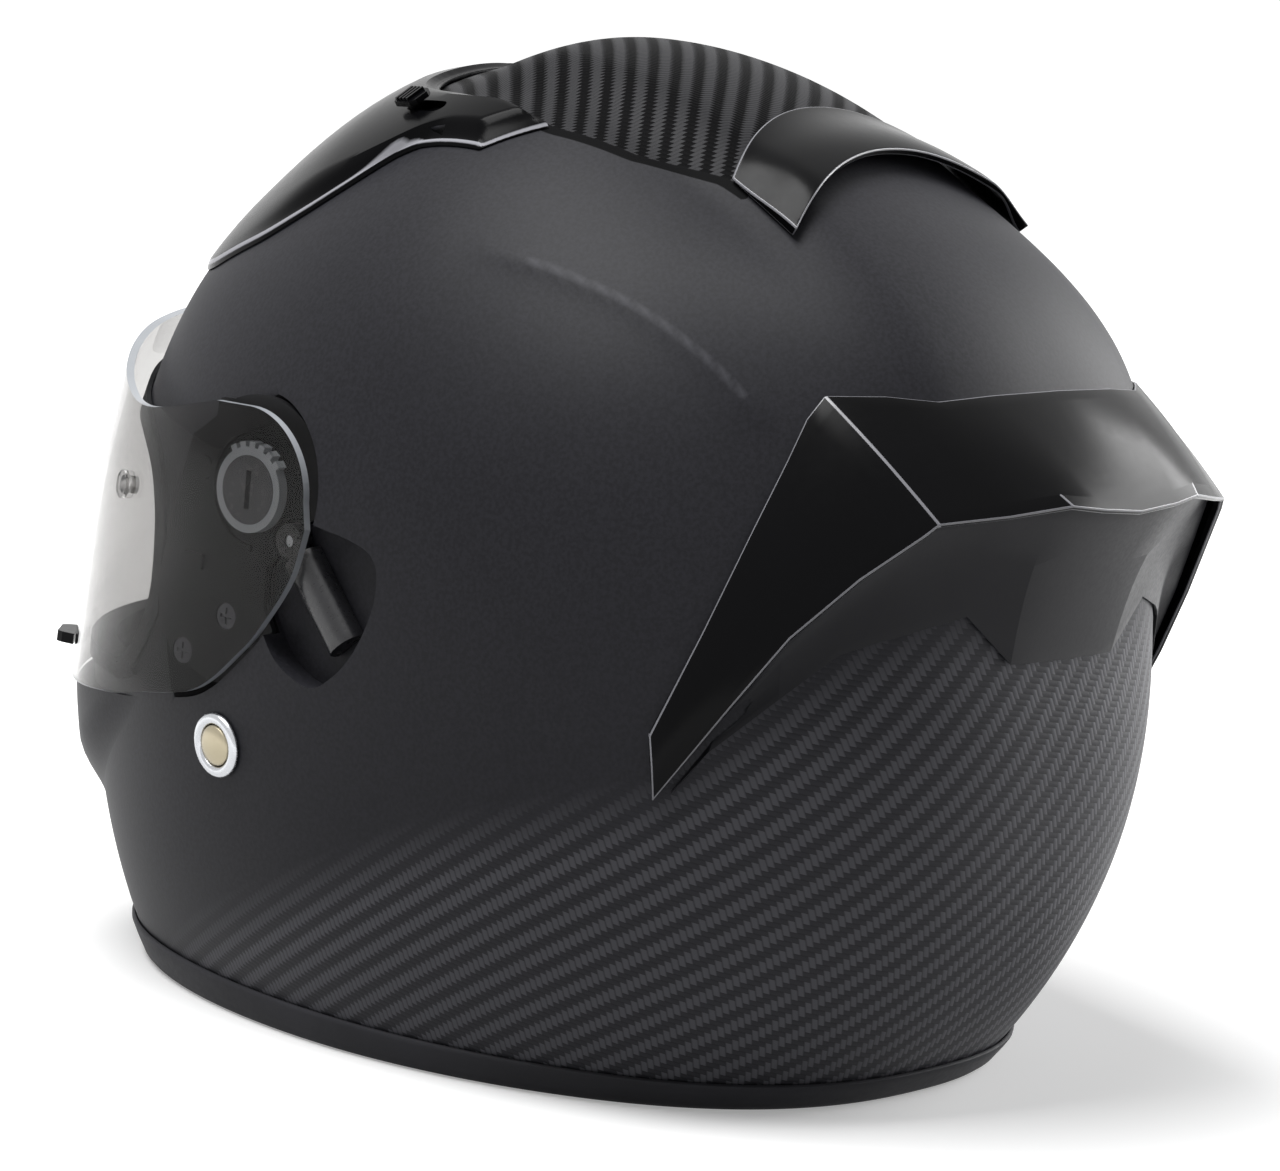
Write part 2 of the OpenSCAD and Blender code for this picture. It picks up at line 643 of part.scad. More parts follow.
// Spoiler stations from the middle to the left tip: root on the shell, free edge, foot on the shell
stations = [
    [[1, 158.2, 0], [spoiler_tail - 0.5, 170.1, 0], [1.2, 184.3, 0]],
    [[1, 158.2, 9], [spoiler_tail, 169.7, 4.4], [1.2, 184.3, 4.4]],
    [[1, 158.2, 16.4], [spoiler_tail - 0.2, 169.2, 8.2], [1.2, 184.3, 7.7]],
    [[1, 156.8, 22], [spoiler_tail - 3, 169.7, 15], [1.2, 179.4, 14.7]],
    [[1.5, 155.4, 28.4], [spoiler_tail - 5.9, 170, 22.5], [1.2, 181.3, 23]],
    [[1.5, 157.5, 31.1], [spoiler_tail - 7.5, 171, 24], [1.2, 182.4, 27]],
    [[1.5, 162, 34.6], [spoiler_tail - 13.5, 175, 30.4], [1.2, 183.6, 30.7]],
    [[2, 169.1, 39.7], [spoiler_tail - 18.5, 181.5, 37.8], [1.4, 189.1, 37.9]],
    [[2.4, 182.3, 46.7], [spoiler_tail - 23, 190.6, 43.9], [1.6, 197, 45.5]],
    [[3, 197.1, 52.1], [3.6, 204.7, 50.4], [2, 206, 49.9]]
];
function root_at(s) = form_point(shell_form, s[0][0], s[0][1], s[0][2]);
function edge_at(s) = form_point(plain_form, s[1][0], s[1][1], s[1][2]);
function foot_at(s) = form_point(shell_form, s[2][0], s[2][1], s[2][2]);
function flip_x(p) = [-p[0], p[1], p[2]];
function both_halves(p) = concat([for (i = [len(p) - 1 : -1 : 1]) flip_x(p[i])], p);
wing_roots = both_halves([for (s = stations) root_at(s)]);
wing_edges = both_halves([for (s = stations) edge_at(s)]);
wing_feet = both_halves([for (s = stations) foot_at(s)]);
function strip_normal(p, q, i) =
    let (m = len(p) - 1) unit(cross(p[min(m, i + 1)] - p[max(0, i - 1)], q[i] - p[i]));
wing_normals = [for (i = [0 : len(wing_roots) - 1]) strip_normal(wing_roots, wing_edges, i)];
lips = [for (i = [0 : len(wing_roots) - 1])
    wing_edges[i] + 0.07 * (wing_roots[i] - wing_edges[i]) - (spoiler_wall + seat_gap) * wing_normals[i]];
foot_normals = [for (i = [0 : len(lips) - 1]) strip_normal(lips, wing_feet, i)];
diffuser_span = [1 : len(lips) - 2];
wing_steps = [0 : 0.25 : 1];
module wing_slab(extra = 0) {
    outer = [for (t = wing_steps) [for (i = [0 : len(wing_roots) - 1])
        wing_roots[i] + t * (wing_edges[i] - wing_roots[i]) + (extra + 1.2 * sin(180 * t)) * wing_normals[i]]];
    inner = [for (t = wing_steps) [for (i = [0 : len(wing_roots) - 1])
        wing_roots[i] + t * (wing_edges[i] - wing_roots[i])
        - (spoiler_wall * (1 - 0.45 * t) + extra) * wing_normals[i]]];
    slab(outer, inner);
}
module spoiler_wing() {
    color(gloss_black) moulded() difference() {
        wing_slab();
        form_solid(shell_form, seat_gap);
    }
}
module spoiler_diffuser() {
    outer = [for (t = wing_steps) [for (i = diffuser_span)
        lips[i] + t * (wing_feet[i] - lips[i]) - 2.4 * sin(180 * t) * foot_normals[i]]];
    inner = [for (t = wing_steps) [for (i = diffuser_span)
        lips[i] + t * (wing_feet[i] - lips[i]) - (2.4 * sin(180 * t) + spoiler_wall) * foot_normals[i]]];
    color(satin_black) moulded() difference() {
        slab(outer, inner);
        wing_slab(0.3);
        form_solid(shell_form, seat_gap);
    }
}

// Front view outline pushed back along Y from y0 to y1
module facing(y0, y1) {
    translate([0, y1, 0]) rotate([90, 0, 0]) linear_extrude(y1 - y0) children();
}
chin_z = chin_frame[2][3];
// Half width, lower edge and upper edge of the chin vent's mouth
chin_mouth = [chin_vent_half - 8, chin_z - chin_vent_h / 2 + 5, chin_z - chin_vent_h / 2 + 14];
module square_ring(half, z0, z1, r) {
    offset(r) translate([-half + r, z0 + r]) square([2 * (half - r), z1 - z0 - 2 * r]);
}
module chin_vent_frame() {
    color(gloss_black) moulded() difference() {
        intersection() {
            layer(chin_form, seat_gap, 4.6);
            facing(-300, axis_y - 60)
                square_ring(chin_vent_half, chin_z - chin_vent_h / 2, chin_z + chin_vent_h / 2, 6);
        }
        facing(-300, axis_y - 60) square_ring(chin_mouth[0], chin_mouth[1], chin_mouth[2], 2);
        intersection() {
            form_solid(chin_form, 3.2);
            facing(-300, axis_y - 60)
                square_ring(chin_mouth[0] + 2.5, chin_mouth[1] - 2.2, chin_mouth[2] + chin_travel + 2.6, 1);
        }
    }
}
module chin_vent_shutter() {
    color(gloss_black) moulded() union() {
        intersection() {
            layer(chin_form, 1.2, 2.4);
            facing(-300, axis_y - 60)
                square_ring(chin_mouth[0] + 1.4, chin_mouth[1] - 1.2, chin_mouth[2] + 1.5, 1);
        }
        intersection() {
            layer(chin_form, 1.8, 6.4);
            facing(-300, axis_y - 60) square_ring(7, chin_mouth[1] + 0.4, chin_mouth[1] + 2.7, 0.6);
        }
    }
}
module rivet_ring(side) {
    r = rivet_ring_r;
    bore = rivet_head_r + 0.15;
    color(bright_steel) on_side(side) multmatrix(rivet_frame) translate([0, 0, 0.15]) rotate_extrude($fn = 64)
        polygon([[bore, 0], [r, 0], [r, 0.7], [r - 0.6, 1.5], [r - 1.3, 1.7], [bore + 0.25, 1.2]]);
}
module rivet(side) {
    r = rivet_head_r;
    low = -shell_wall - plate_drop - plate_t - 0.1;
    foot_r = rivet_shank_r + 1;
    color(champagne) on_side(side) multmatrix(rivet_frame) rotate_extrude($fn = 64) polygon(concat(
        [[0, low - 1.1], [foot_r, low - 1.1], [foot_r, low]],
        [[rivet_shank_r, low], [rivet_shank_r, 0.2], [r, 0.2]],
        [for (a = [0 : 15 : 90]) [r * cos(a), 0.9 + 1.7 * sin(a)]]
    ));
}
module anchor_plate(side) {
    color(bright_steel) on_side(side) multmatrix(rivet_frame)
        translate([0, 0, -shell_wall - plate_drop - plate_t]) difference() {
            translate([-9, -strap_w / 2 - 2, 0]) cube([18, strap_w + 4, plate_t]);
            translate([0, 0, -1]) cylinder(r = rivet_shank_r + 0.05, h = 10, $fn = 48);
        }
}
function form_normal(f, a, b) =
    let (
        sideways = form_point(f, 0, a, b + 0.5) - form_point(f, 0, a, b - 0.5),
        round = form_point(f, 0, a + 0.5, b) - form_point(f, 0, a - 0.5, b)
    )
    unit(cross(sideways, round));
visor_pin_frame = frame_at(form_point(visor_form, 0, 352, 65), form_normal(visor_form, 352, 65), [0, 0, 1]);
visor_tab_frame = frame_at(form_point(visor_form, 0, 330, 38), form_normal(visor_form, 330, 38), [0, 0, 1]);
intake_frame = frame_at(skin(0, 52, 26), skin_normal(52, 26), [0, 0, 1]);
exhaust_frame = frame_at(skin(0, 126, 12), skin_normal(126, 12), [0, 0, 1]);

// Side outlines of the lining, [behind, above] the visor pivot
liner_low = 22.6 - pivot[1];
liner_outline = [
    [-69, liner_low], [-69, -58], [-40, -50], [-33, -30], [-33, 0], [-45, 12], [-80, 18], [-220, 22],
    [-220, 220], [260, 220], [260, liner_low]
];
chin_outline = [[-220, liner_low], [-70, liner_low], [-70, -67], [-220, -64]];
crown_outline = [[-30, -20], [-30, 14], [-60, 32], [-220, 38], [-220, 220], [260, 220], [260, -20]];
cheek_outline = smooth_line([
    [-60, -112], [-66, -88], [-58, -70], [-38, -56], [-12, -40], [12, -38], [24, -58], [28, -90], [20, -116],
    [-20, -120], [-60, -112]
], 3);
module strap_cut(extra) {
    translate([pad_face_x - 20, strap_at - strap_w / 2 - extra, strap_z - 10 - strap_t / 2 - extra])
        cube([200, strap_w + 2 * extra, 10 + strap_t + 2 * extra]);
}
module anchor_pocket() {
    multmatrix(rivet_frame) translate([-22, -strap_w / 2 - 3.5, -26]) cube([34, strap_w + 7, 30]);
}
// Solid between the shell's inside and a coarser cavity, deep under the shell
module lining(outline, low, high) {
    difference() {
        intersection() {
            form_solid(plain_form, high, 32, 16);
            across(-300, 300) polygon(outline);
        }
        form_solid(plain_form, low, 32, 16);
        across(-300, 300) offset(delta = gasket_lip + liner_gap) polygon(port_outline);
    }
}
module impact_liner() {
    color(foam_black) moulded() difference() {
        lining(liner_outline, -shell_wall - liner_t, -shell_wall - liner_gap);
        both_sides() {
            across(boss_x - liner_gap, half_width + 20) boss_shape(1);
            strap_cut(1.2);
            anchor_pocket();
            multmatrix(intake_frame) translate([0, 0, -60]) cylinder(r = 6, h = 80, $fn = 16);
            multmatrix(exhaust_frame) translate([0, 0, -60]) cylinder(r = 5, h = 80, $fn = 16);
        }
    }
}
module chin_liner() {
    color(foam_black) moulded() difference() {
        lining(chin_outline, -shell_wall - chin_liner_t, -shell_wall - liner_gap);
        facing(-300, axis_y - 60) square_ring(chin_mouth[0] - 2, chin_mouth[1] + 1, chin_mouth[2] - 1, 3);
    }
}
module crown_pad() {
    color(cloth_grey) moulded() intersection() {
        layer(plain_form, -shell_wall - liner_t - crown_pad_t, -shell_wall - liner_t - liner_gap, 32, 16);
        across(-300, 300) polygon(crown_outline);
    }
}
module cheek_pad(side) {
    color(cloth_grey) on_side(side) moulded() difference() {
        intersection() {
            form_solid(plain_form, -shell_wall - liner_t - liner_gap, 32, 16);
            across(pad_face_x, 300) polygon(cheek_outline);
        }
        strap_cut(1);
    }
}
module neck_roll() {
    color(cloth_grey) moulded() intersection() {
        layer(plain_form, -shell_wall - liner_t, -trim_in - liner_gap, 32, 16);
        translate([-300, strap_at + strap_w / 2 + 5, 4]) cube([600, 600, 18]);
    }
}
module breath_guard() {
    top = pivot[1];
    color(rubber_black) moulded() intersection() {
        layer(plain_form, -shell_wall - chin_liner_t - 2.6, -shell_wall - chin_liner_t - liner_gap, 32, 16);
        facing(-300, axis_y - 40) polygon([
            [-52, top - 88], [-54, top - 70], [-40, top - 58], [-22, top - 50], [-10, top - 42], [0, top - 46],
            [10, top - 42], [22, top - 50], [40, top - 58], [54, top - 70], [52, top - 88]
        ]);
    }
}
module chin_curtain() {
    color(cloth_grey) moulded() intersection() {
        layer(plain_form, -trim_in - 24, -trim_in - liner_gap, 32, 16);
        translate([-300, axis_y - 300, 5]) cube([600, 300 - 62, 2]);
    }
}

// Outline of a band of thickness t along points of a line
function band_outline(p, t) =
    let (
        m = len(p) - 1,
        d = [for (i = [0 : m]) unit(p[min(m, i + 1)] - p[max(0, i - 1)])],
        n = [for (v = d) [-v[1], v[0]] * t / 2]
    )
    concat([for (i = [0 : m]) p[i] + n[i]], [for (i = [m : -1 : 0]) p[i] - n[i]]);
function bend(c, r, a0, a1) = [for (k = [0 : 4]) let (a = a0 + (a1 - a0) * k / 4) c + r * [cos(a), sin(a)]];
// Left to right place of the webbing where it hangs on a cheek pad
hang_x = pad_face_x - strap_t / 2 - 0.6;
anchor_x = rivet_frame[0][3] - shell_wall - plate_drop - plate_t - 4;
module hang(points) {
    translate([0, strap_at + strap_w / 2, 0]) rotate([90, 0, 0])
        linear_extrude(strap_w) polygon(band_outline(points, strap_t));
}
function strap_line(z_end) = concat(
    [[anchor_x, strap_z + 3]],
    bend([anchor_x - 4, strap_z - 1], 4, 0, -90),
    bend([hang_x + 4, strap_z - 9], 4, 90, 180),
    [[hang_x, z_end]]
);
strap_end_left = 26;
strap_end_right = 44;
module strap_left() {
    color(webbing_black) hang(strap_line(strap_end_left));
}
module strap_right() {
    color(webbing_black) on_side(-1) hang(strap_line(strap_end_right));
}
buckle_low = 5;
buckle_x = hang_x - strap_t / 2 - 0.3;
buckle_pin_r = 1.25;
buckle_pin_at = [buckle_x - 7, buckle_low + 7];
module buckle_body() {
    w = strap_w + 6;
    color(bright_steel) difference() {
        union() {
            translate([buckle_x - 1.6, strap_at - w / 2, buckle_low]) cube([1.6, w, buckle_len]);
            for (s = [-1, 1]) translate([buckle_x - 11, strap_at + s * (w / 2 - 0.8) - 0.8, buckle_low])
                cube([11, 1.6, buckle_len - 8]);
        }
        translate([buckle_pin_at[0], strap_at - 30, buckle_pin_at[1]]) rotate([-90, 0, 0])
            cylinder(r = buckle_pin_r + 0.02, h = 60, $fn = 48);
    }
}
module buckle_lever() {
    w = strap_w + 2;
    color(gloss_black) difference() {
        union() {
            translate([buckle_pin_at[0], strap_at - w / 2, buckle_pin_at[1]]) rotate([-90, 0, 0])
                cylinder(r = 3.4, h = w, $fn = 48);
            translate([buckle_pin_at[0] - 3.4, strap_at - w / 2, buckle_pin_at[1]])
                cube([2.2, w, buckle_len - 13]);
        }
        translate([buckle_pin_at[0], strap_at - 30, buckle_pin_at[1]]) rotate([-90, 0, 0])
            cylinder(r = buckle_pin_r + 0.05, h = 60, $fn = 48);
    }
}
module buckle_pin() {
    color(bright_steel) translate([buckle_pin_at[0], strap_at - strap_w / 2 - 3, buckle_pin_at[1]])
        rotate([-90, 0, 0]) cylinder(r = buckle_pin_r, h = strap_w + 6, $fn = 48);
}
module ratchet_strip() {
    top = strap_end_right + 14;
    color(gloss_black) on_side(-1) {
        translate([buckle_x - 1.8, strap_at - 9, 5]) cube([1.8, 18, top - 5]);
        for (z = [9 : 3 : strap_end_right - 6]) translate([buckle_x - 1.8, strap_at - 7, z])
            rotate([90, 0, 180]) linear_extrude(14) polygon([[-0.1, 0], [1, 0], [-0.1, 2]]);
    }
}

outer_shell();
eyeport_gasket();
bottom_trim();
visor_shield();
visor_tab();
visor_ring(1);  // visor_ring_left
visor_ring(-1);  // visor_ring_right
visor_pin(1);  // visor_pin_left
visor_pin(-1);  // visor_pin_right
pivot_hub(1);  // pivot_hub_left
pivot_hub(-1);  // pivot_hub_right
base_plate(1);  // base_plate_left
base_plate(-1);  // base_plate_right
plate_screw(1, plate_screws[1]);  // plate_screw_left_upper
plate_screw(1, plate_screws[0]);  // plate_screw_left_lower
plate_screw(-1, plate_screws[1]);  // plate_screw_right_upper
plate_screw(-1, plate_screws[0]);  // plate_screw_right_lower
release_lever(1);  // release_lever_left
release_lever(-1);  // release_lever_right
lever_pin(1);  // lever_pin_left
lever_pin(-1);  // lever_pin_right
front_vent_cover();
vent_slider(1);  // vent_slider_left
vent_slider(-1);  // vent_slider_right
rear_exhaust_cover();
spoiler_wing();
spoiler_diffuser();
chin_vent_frame();
chin_vent_shutter();
rivet_ring(1);  // rivet_ring_left
rivet_ring(-1);  // rivet_ring_right
rivet(1);  // rivet_left
rivet(-1);  // rivet_right
anchor_plate(1);  // anchor_plate_left
anchor_plate(-1);  // anchor_plate_right
impact_liner();
chin_liner();
crown_pad();
cheek_pad(1);  // cheek_pad_left
cheek_pad(-1);  // cheek_pad_right
neck_roll();
breath_guard();
chin_curtain();
strap_left();
strap_right();
buckle_body();
buckle_lever();
buckle_pin();
ratchet_strip();
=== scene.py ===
"""Looks of a full face motorcycle helmet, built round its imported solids.

The helmet faces -Y, the wearer's left side is +X and +Z is up. Shapes are worked out in
millimetres from the helmet's one egg-like form and put into the meshes in metres.
"""

import json
import logging
import math
from dataclasses import dataclass, field
from enum import Enum
from typing import Callable, Optional, Sequence

import bmesh
import bpy
import numpy as np
from mathutils import Matrix, Vector

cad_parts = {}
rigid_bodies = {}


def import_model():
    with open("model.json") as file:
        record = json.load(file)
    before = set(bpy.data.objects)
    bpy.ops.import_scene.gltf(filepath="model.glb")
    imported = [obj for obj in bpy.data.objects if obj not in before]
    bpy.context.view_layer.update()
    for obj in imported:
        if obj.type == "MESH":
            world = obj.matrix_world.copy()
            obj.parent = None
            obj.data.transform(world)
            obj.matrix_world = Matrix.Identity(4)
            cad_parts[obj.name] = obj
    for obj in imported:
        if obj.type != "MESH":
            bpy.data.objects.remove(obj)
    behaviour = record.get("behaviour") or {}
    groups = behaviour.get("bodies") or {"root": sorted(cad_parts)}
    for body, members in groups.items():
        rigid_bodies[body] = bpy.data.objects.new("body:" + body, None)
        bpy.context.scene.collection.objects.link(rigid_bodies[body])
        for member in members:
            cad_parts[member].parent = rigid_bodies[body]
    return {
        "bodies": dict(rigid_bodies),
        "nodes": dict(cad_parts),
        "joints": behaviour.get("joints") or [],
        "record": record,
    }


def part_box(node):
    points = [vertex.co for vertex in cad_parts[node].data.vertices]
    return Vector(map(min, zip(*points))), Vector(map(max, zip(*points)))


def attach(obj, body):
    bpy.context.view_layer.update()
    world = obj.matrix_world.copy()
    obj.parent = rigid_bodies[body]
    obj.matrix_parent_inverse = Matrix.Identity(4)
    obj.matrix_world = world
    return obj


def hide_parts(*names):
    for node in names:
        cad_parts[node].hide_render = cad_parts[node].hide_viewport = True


log = logging.getLogger("helmet")
Points = np.ndarray
Piece = bpy.types.Object
Tree = bpy.types.NodeTree
Outputs = bpy.types.bpy_prop_collection
MM = 0.001
# A length in millimetres past the whole helmet, and a distance past its widest place
FAR, ASIDE = 300.0, 150.0
SIDES = {"left": 1, "right": -1}
UP = (0.0, 0.0, 1.0)


# Numbers and curves


def ease(t: Points) -> Points:
    """Smooth step: 3 t squared less 2 t cubed, with t held between 0 and 1."""
    s = np.clip(t, 0.0, 1.0)
    return s * s * (3 - 2 * s)


def window(t: Points, start: float, rise: float, end: float, fall: float) -> Points:
    """Share that eases up over a rise from the start and down over a fall to the end."""
    return ease((t - start) / rise) * ease((end - t) / fall)


def unit(v: Points) -> Points:
    """Vectors divided by their lengths."""
    return v / np.maximum(np.linalg.norm(v, axis=-1, keepdims=True), 1e-12)


def hermite(p0: Points, p1: Points, p2: Points, p3: Points, t: Points) -> Points:
    """Cubic from p1 to p2 whose slopes come from the neighbours p0 and p3."""
    return (
        (2 * t**3 - 3 * t**2 + 1) * p1
        + (t**3 - 2 * t**2 + t) * (p2 - p0) / 2
        + (3 * t**2 - 2 * t**3) * p2
        + (t**3 - t**2) * (p3 - p1) / 2
    )


def ring_value(values: Sequence[float], angle: Points) -> Points:
    """Smooth closed curve through evenly spaced values.

    Args:
        values: The values, one every 360 / len(values) degrees.
        angle: Angles in degrees.

    Returns:
        The curve's value at each angle.
    """
    v = np.asarray(values, float)
    n = len(v)
    s = np.mod(np.asarray(angle, float), 360) / 360 * n
    i = np.floor(s).astype(int)
    return hermite(v[(i - 1) % n], v[i % n], v[(i + 1) % n], v[(i + 2) % n], s - i)


def smooth_line(points: Sequence[Sequence[float]], steps: int) -> Points:
    """Smooth open line through points.

    Args:
        points: The points that the line passes through.
        steps: Number of pieces between neighbours.

    Returns:
        Points along the line, both ends included.
    """
    p = np.asarray(points, float)
    q = np.concatenate([p[:1], p, p[-1:]])
    t = (np.arange(steps) / steps)[None, :, None]
    rows = hermite(q[:-3, None], q[1:-2, None], q[2:-1, None], q[3:, None], t)
    return np.concatenate([rows.reshape(-1, p.shape[1]), p[-1:]])


def arc(radius: float, start: float, end: float, steps: int) -> Points:
    """Points on a circle round the origin between two angles in degrees."""
    a = np.radians(np.linspace(start, end, steps + 1))
    return radius * np.stack([np.cos(a), np.sin(a)], -1)


def resample(line: Points, count: int, closed: bool = False) -> Points:
    """Points at even spacing along a line, found by its running length.

    Args:
        line: Corners of the line.
        count: Number of points wanted.
        closed: True where the line's end is joined with its start.

    Returns:
        The points.
    """
    p = np.concatenate([line, line[:1]]) if closed else line
    run = np.concatenate([[0], np.cumsum(np.linalg.norm(np.diff(p, axis=0), axis=1))])
    at = np.linspace(0, run[-1], count + 1 if closed else count)
    out = np.stack([np.interp(at, run, p[:, k]) for k in range(p.shape[1])], -1)
    return out[:-1] if closed else out


def grown(outline: Points, by: float) -> Points:
    """Closed outline moved outwards, each corner along the mean of its two normals.

    Args:
        outline: Corners of the outline, either way round.
        by: Distance in millimetres, less than nought to move it inwards.

    Returns:
        The new corners.
    """
    p = outline
    d = unit(np.roll(p, -1, 0) - p)
    n = np.stack([d[:, 1], -d[:, 0]], -1)
    area = np.sum(p[:, 0] * np.roll(p[:, 1], -1) - np.roll(p[:, 0], -1) * p[:, 1])
    n = n * np.sign(area)
    m = unit(n + np.roll(n, 1, 0))
    return p + m * (by / np.maximum(np.sum(m * n, -1, keepdims=True), 0.5))


def nearest(p: Points, line: Points) -> Points:
    """Distance of each flat point from the nearest point of a line.

    Args:
        p: The points.
        line: Closely spaced points of the line.

    Returns:
        A distance for each point.
    """
    out = np.full(len(p), 1e9)
    for q in line:
        out = np.minimum(out, np.hypot(p[:, 0] - q[0], p[:, 1] - q[1]))
    return out


def block(x0: float, y0: float, x1: float, y1: float) -> Points:
    """Corners of a rectangle between two opposite ones."""
    return np.array([[x0, y0], [x1, y0], [x1, y1], [x0, y1]], float)


def rounded_box(half_w: float, low: float, high: float, r: float, steps: int = 4) -> Points:
    """Corners of a rectangle with round corners, counter-clockwise.

    Args:
        half_w: Half of its width, to each side of the middle.
        low: Its lower edge.
        high: Its upper edge.
        r: Radius of the corners.
        steps: Number of pieces in each corner.

    Returns:
        The corners.
    """
    w = half_w - r
    corners = [(w, high - r), (-w, high - r), (-w, low + r), (w, low + r)]
    turns = [arc(r, 90 * k, 90 * k + 90, steps) for k in range(4)]
    return np.concatenate([np.array(c) + turn for c, turn in zip(corners, turns)])


def disc(at: Sequence[float], r: float) -> Points:
    """Circle of 64 corners round a point."""
    return np.asarray(at) + arc(r, 0, 360, 64)[:-1]


# Meshes


def put_mesh(name: str, points: Points, faces: Sequence, sharp: float = 40.0) -> Piece:
    """A new object whose mesh holds the points, in metres, and the faces.

    Args:
        name: Name of the piece.
        points: Points in millimetres.
        faces: Rows of point numbers, counter-clockwise seen from outside.
        sharp: Edges that bend by more than this many degrees stay sharp.

    Returns:
        The object, linked to the scene and standing at the origin.
    """
    mesh = bpy.data.meshes.new(name)
    rows = faces.tolist() if isinstance(faces, np.ndarray) else faces
    mesh.from_pydata((np.asarray(points, float) * MM).tolist(), [], rows)
    mesh.validate()
    mesh.update()
    obj = link(name, mesh)
    smooth(obj, sharp)
    return obj


def link(name: str, data: bpy.types.ID) -> Piece:
    """Makes a new object in the scene.

    Args:
        name: Name of the object.
        data: Its mesh, camera or lamp.

    Returns:
        The object.
    """
    obj = bpy.data.objects.new(name, data)
    bpy.context.scene.collection.objects.link(obj)
    return obj


def smooth(obj: Piece, sharp: float) -> None:
    """Shades a mesh smoothly, with edges sharp where they bend by more than an angle.

    Args:
        obj: The piece.
        sharp: The angle in degrees.
    """
    mesh = obj.data
    mesh.polygons.foreach_set("use_smooth", np.ones(len(mesh.polygons), bool))
    mesh.set_sharp_from_angle(angle=math.radians(sharp))
    mesh.update()


def read(items: bpy.types.bpy_prop_collection, name: str) -> Points:
    """Reads a vector property of each of a mesh's items.

    Args:
        items: The mesh's points, faces or normals.
        name: Name of the property.

    Returns:
        A row of three numbers for each item.
    """
    out = np.empty(len(items) * 3)
    items.foreach_get(name, out)
    return out.reshape(-1, 3)


def points_of(obj: Piece) -> Points:
    """Points of a mesh in millimetres."""
    return read(obj.data.vertices, "co") / MM


def centres(obj: Piece) -> Points:
    """Centres of a mesh's faces in millimetres."""
    return read(obj.data.polygons, "center") / MM


def normals(obj: Piece) -> Points:
    """Outward directions at the points of a mesh."""
    return read(obj.data.vertex_normals, "vector")


def move_to(obj: Piece, p: Points) -> None:
    """Puts points in millimetres back into a mesh."""
    obj.data.vertices.foreach_set("co", (p * MM).ravel())
    obj.data.update()


def store(obj: Piece, name: str, values: Points) -> None:
    """Keeps three numbers for each point of a mesh under a name that a material reads."""
    layer = obj.data.attributes.new(name, "FLOAT_VECTOR", "POINT")
    layer.data.foreach_set("vector", np.asarray(values, float).ravel())


def second_finish(obj: Piece, faces: Points) -> None:
    """Gives the second finish to the faces that are marked true."""
    obj.data.polygons.foreach_set("material_index", faces.astype(np.int32))


def grid_faces(rows: int, cols: int, wrap_rows: bool = False, wrap_cols: bool = False) -> Points:
    """Quads of a grid of points that are numbered row by row.

    Args:
        rows: Number of rows.
        cols: Number of points in a row.
        wrap_rows: True where the last row is joined with the first.
        wrap_cols: True where the last point of a row is joined with its first.

    Returns:
        Four point numbers for each quad.
    """
    r = np.arange(rows if wrap_rows else rows - 1)
    c = np.arange(cols if wrap_cols else cols - 1)
    r, c = (x.ravel() for x in np.meshgrid(r, c, indexing="ij"))
    r1, c1 = (r + 1) % rows, (c + 1) % cols
    return np.stack([r * cols + c, r1 * cols + c, r1 * cols + c1, r * cols + c1], -1)


def outwards(obj: Piece) -> Piece:
    """Turns a closed mesh right side out if its signed volume is negative.

    Args:
        obj: The piece.

    Returns:
        The piece.
    """
    mesh = obj.data
    co = read(mesh.vertices, "co")
    mesh.calc_loop_triangles()
    tri = np.empty(len(mesh.loop_triangles) * 3, np.int32)
    mesh.loop_triangles.foreach_get("vertices", tri)
    a, b, c = (co[tri.reshape(-1, 3)[:, k]] for k in range(3))
    if np.sum(a * np.cross(b, c)) < 0:
        mesh.flip_normals()
    return obj


def slab_mesh(name: str, outer: Points, inner: Points, sharp: float = 30.0) -> Piece:
    """Closed solid between two grids of points of the same shape, rows by columns.

    Args:
        name: Name of the piece.
        outer: Grid of the outer face, rows x columns x 3, in millimetres.
        inner: Grid of the inner face.
        sharp: Angle in degrees past which an edge stays sharp.

    Returns:
        The object.
    """
    nr, nc = outer.shape[:2]
    m = nr * nc
    face = grid_faces(nr, nc)
    first, last = np.arange(nc), m - 2 - np.arange(nc - 1)
    right, left = np.arange(1, nr) * nc + nc - 1, (nr - 2 - np.arange(nr - 2)) * nc
    edge = np.concatenate([first, right, last, left])
    nxt = np.roll(edge, -1)
    side = np.stack([edge, edge + m, nxt + m, nxt], -1)
    faces = np.concatenate([face, face[:, ::-1] + m, side[:, ::-1]])
    points = np.concatenate([outer.reshape(-1, 3), inner.reshape(-1, 3)])
    return outwards(put_mesh(name, points, faces, sharp))


def prism(outline: Points, low: float, high: float, place: Callable[[Points, float], Points]) -> Piece:
    """Closed straight solid on a flat outline, for cutting.

    Args:
        outline: Corners of the outline.
        low: Where the solid starts along its length.
        high: Where it ends.
        place: Turns outline points and a distance along the length into points in space.

    Returns:
        The object.
    """
    n = len(outline)
    i = np.arange(n)
    j = (i + 1) % n
    faces = [i[::-1].tolist(), (i + n).tolist(), *np.stack([i, j, j + n, i + n], -1).tolist()]
    return outwards(put_mesh("cutter", np.concatenate([place(outline, low), place(outline, high)]), faces))


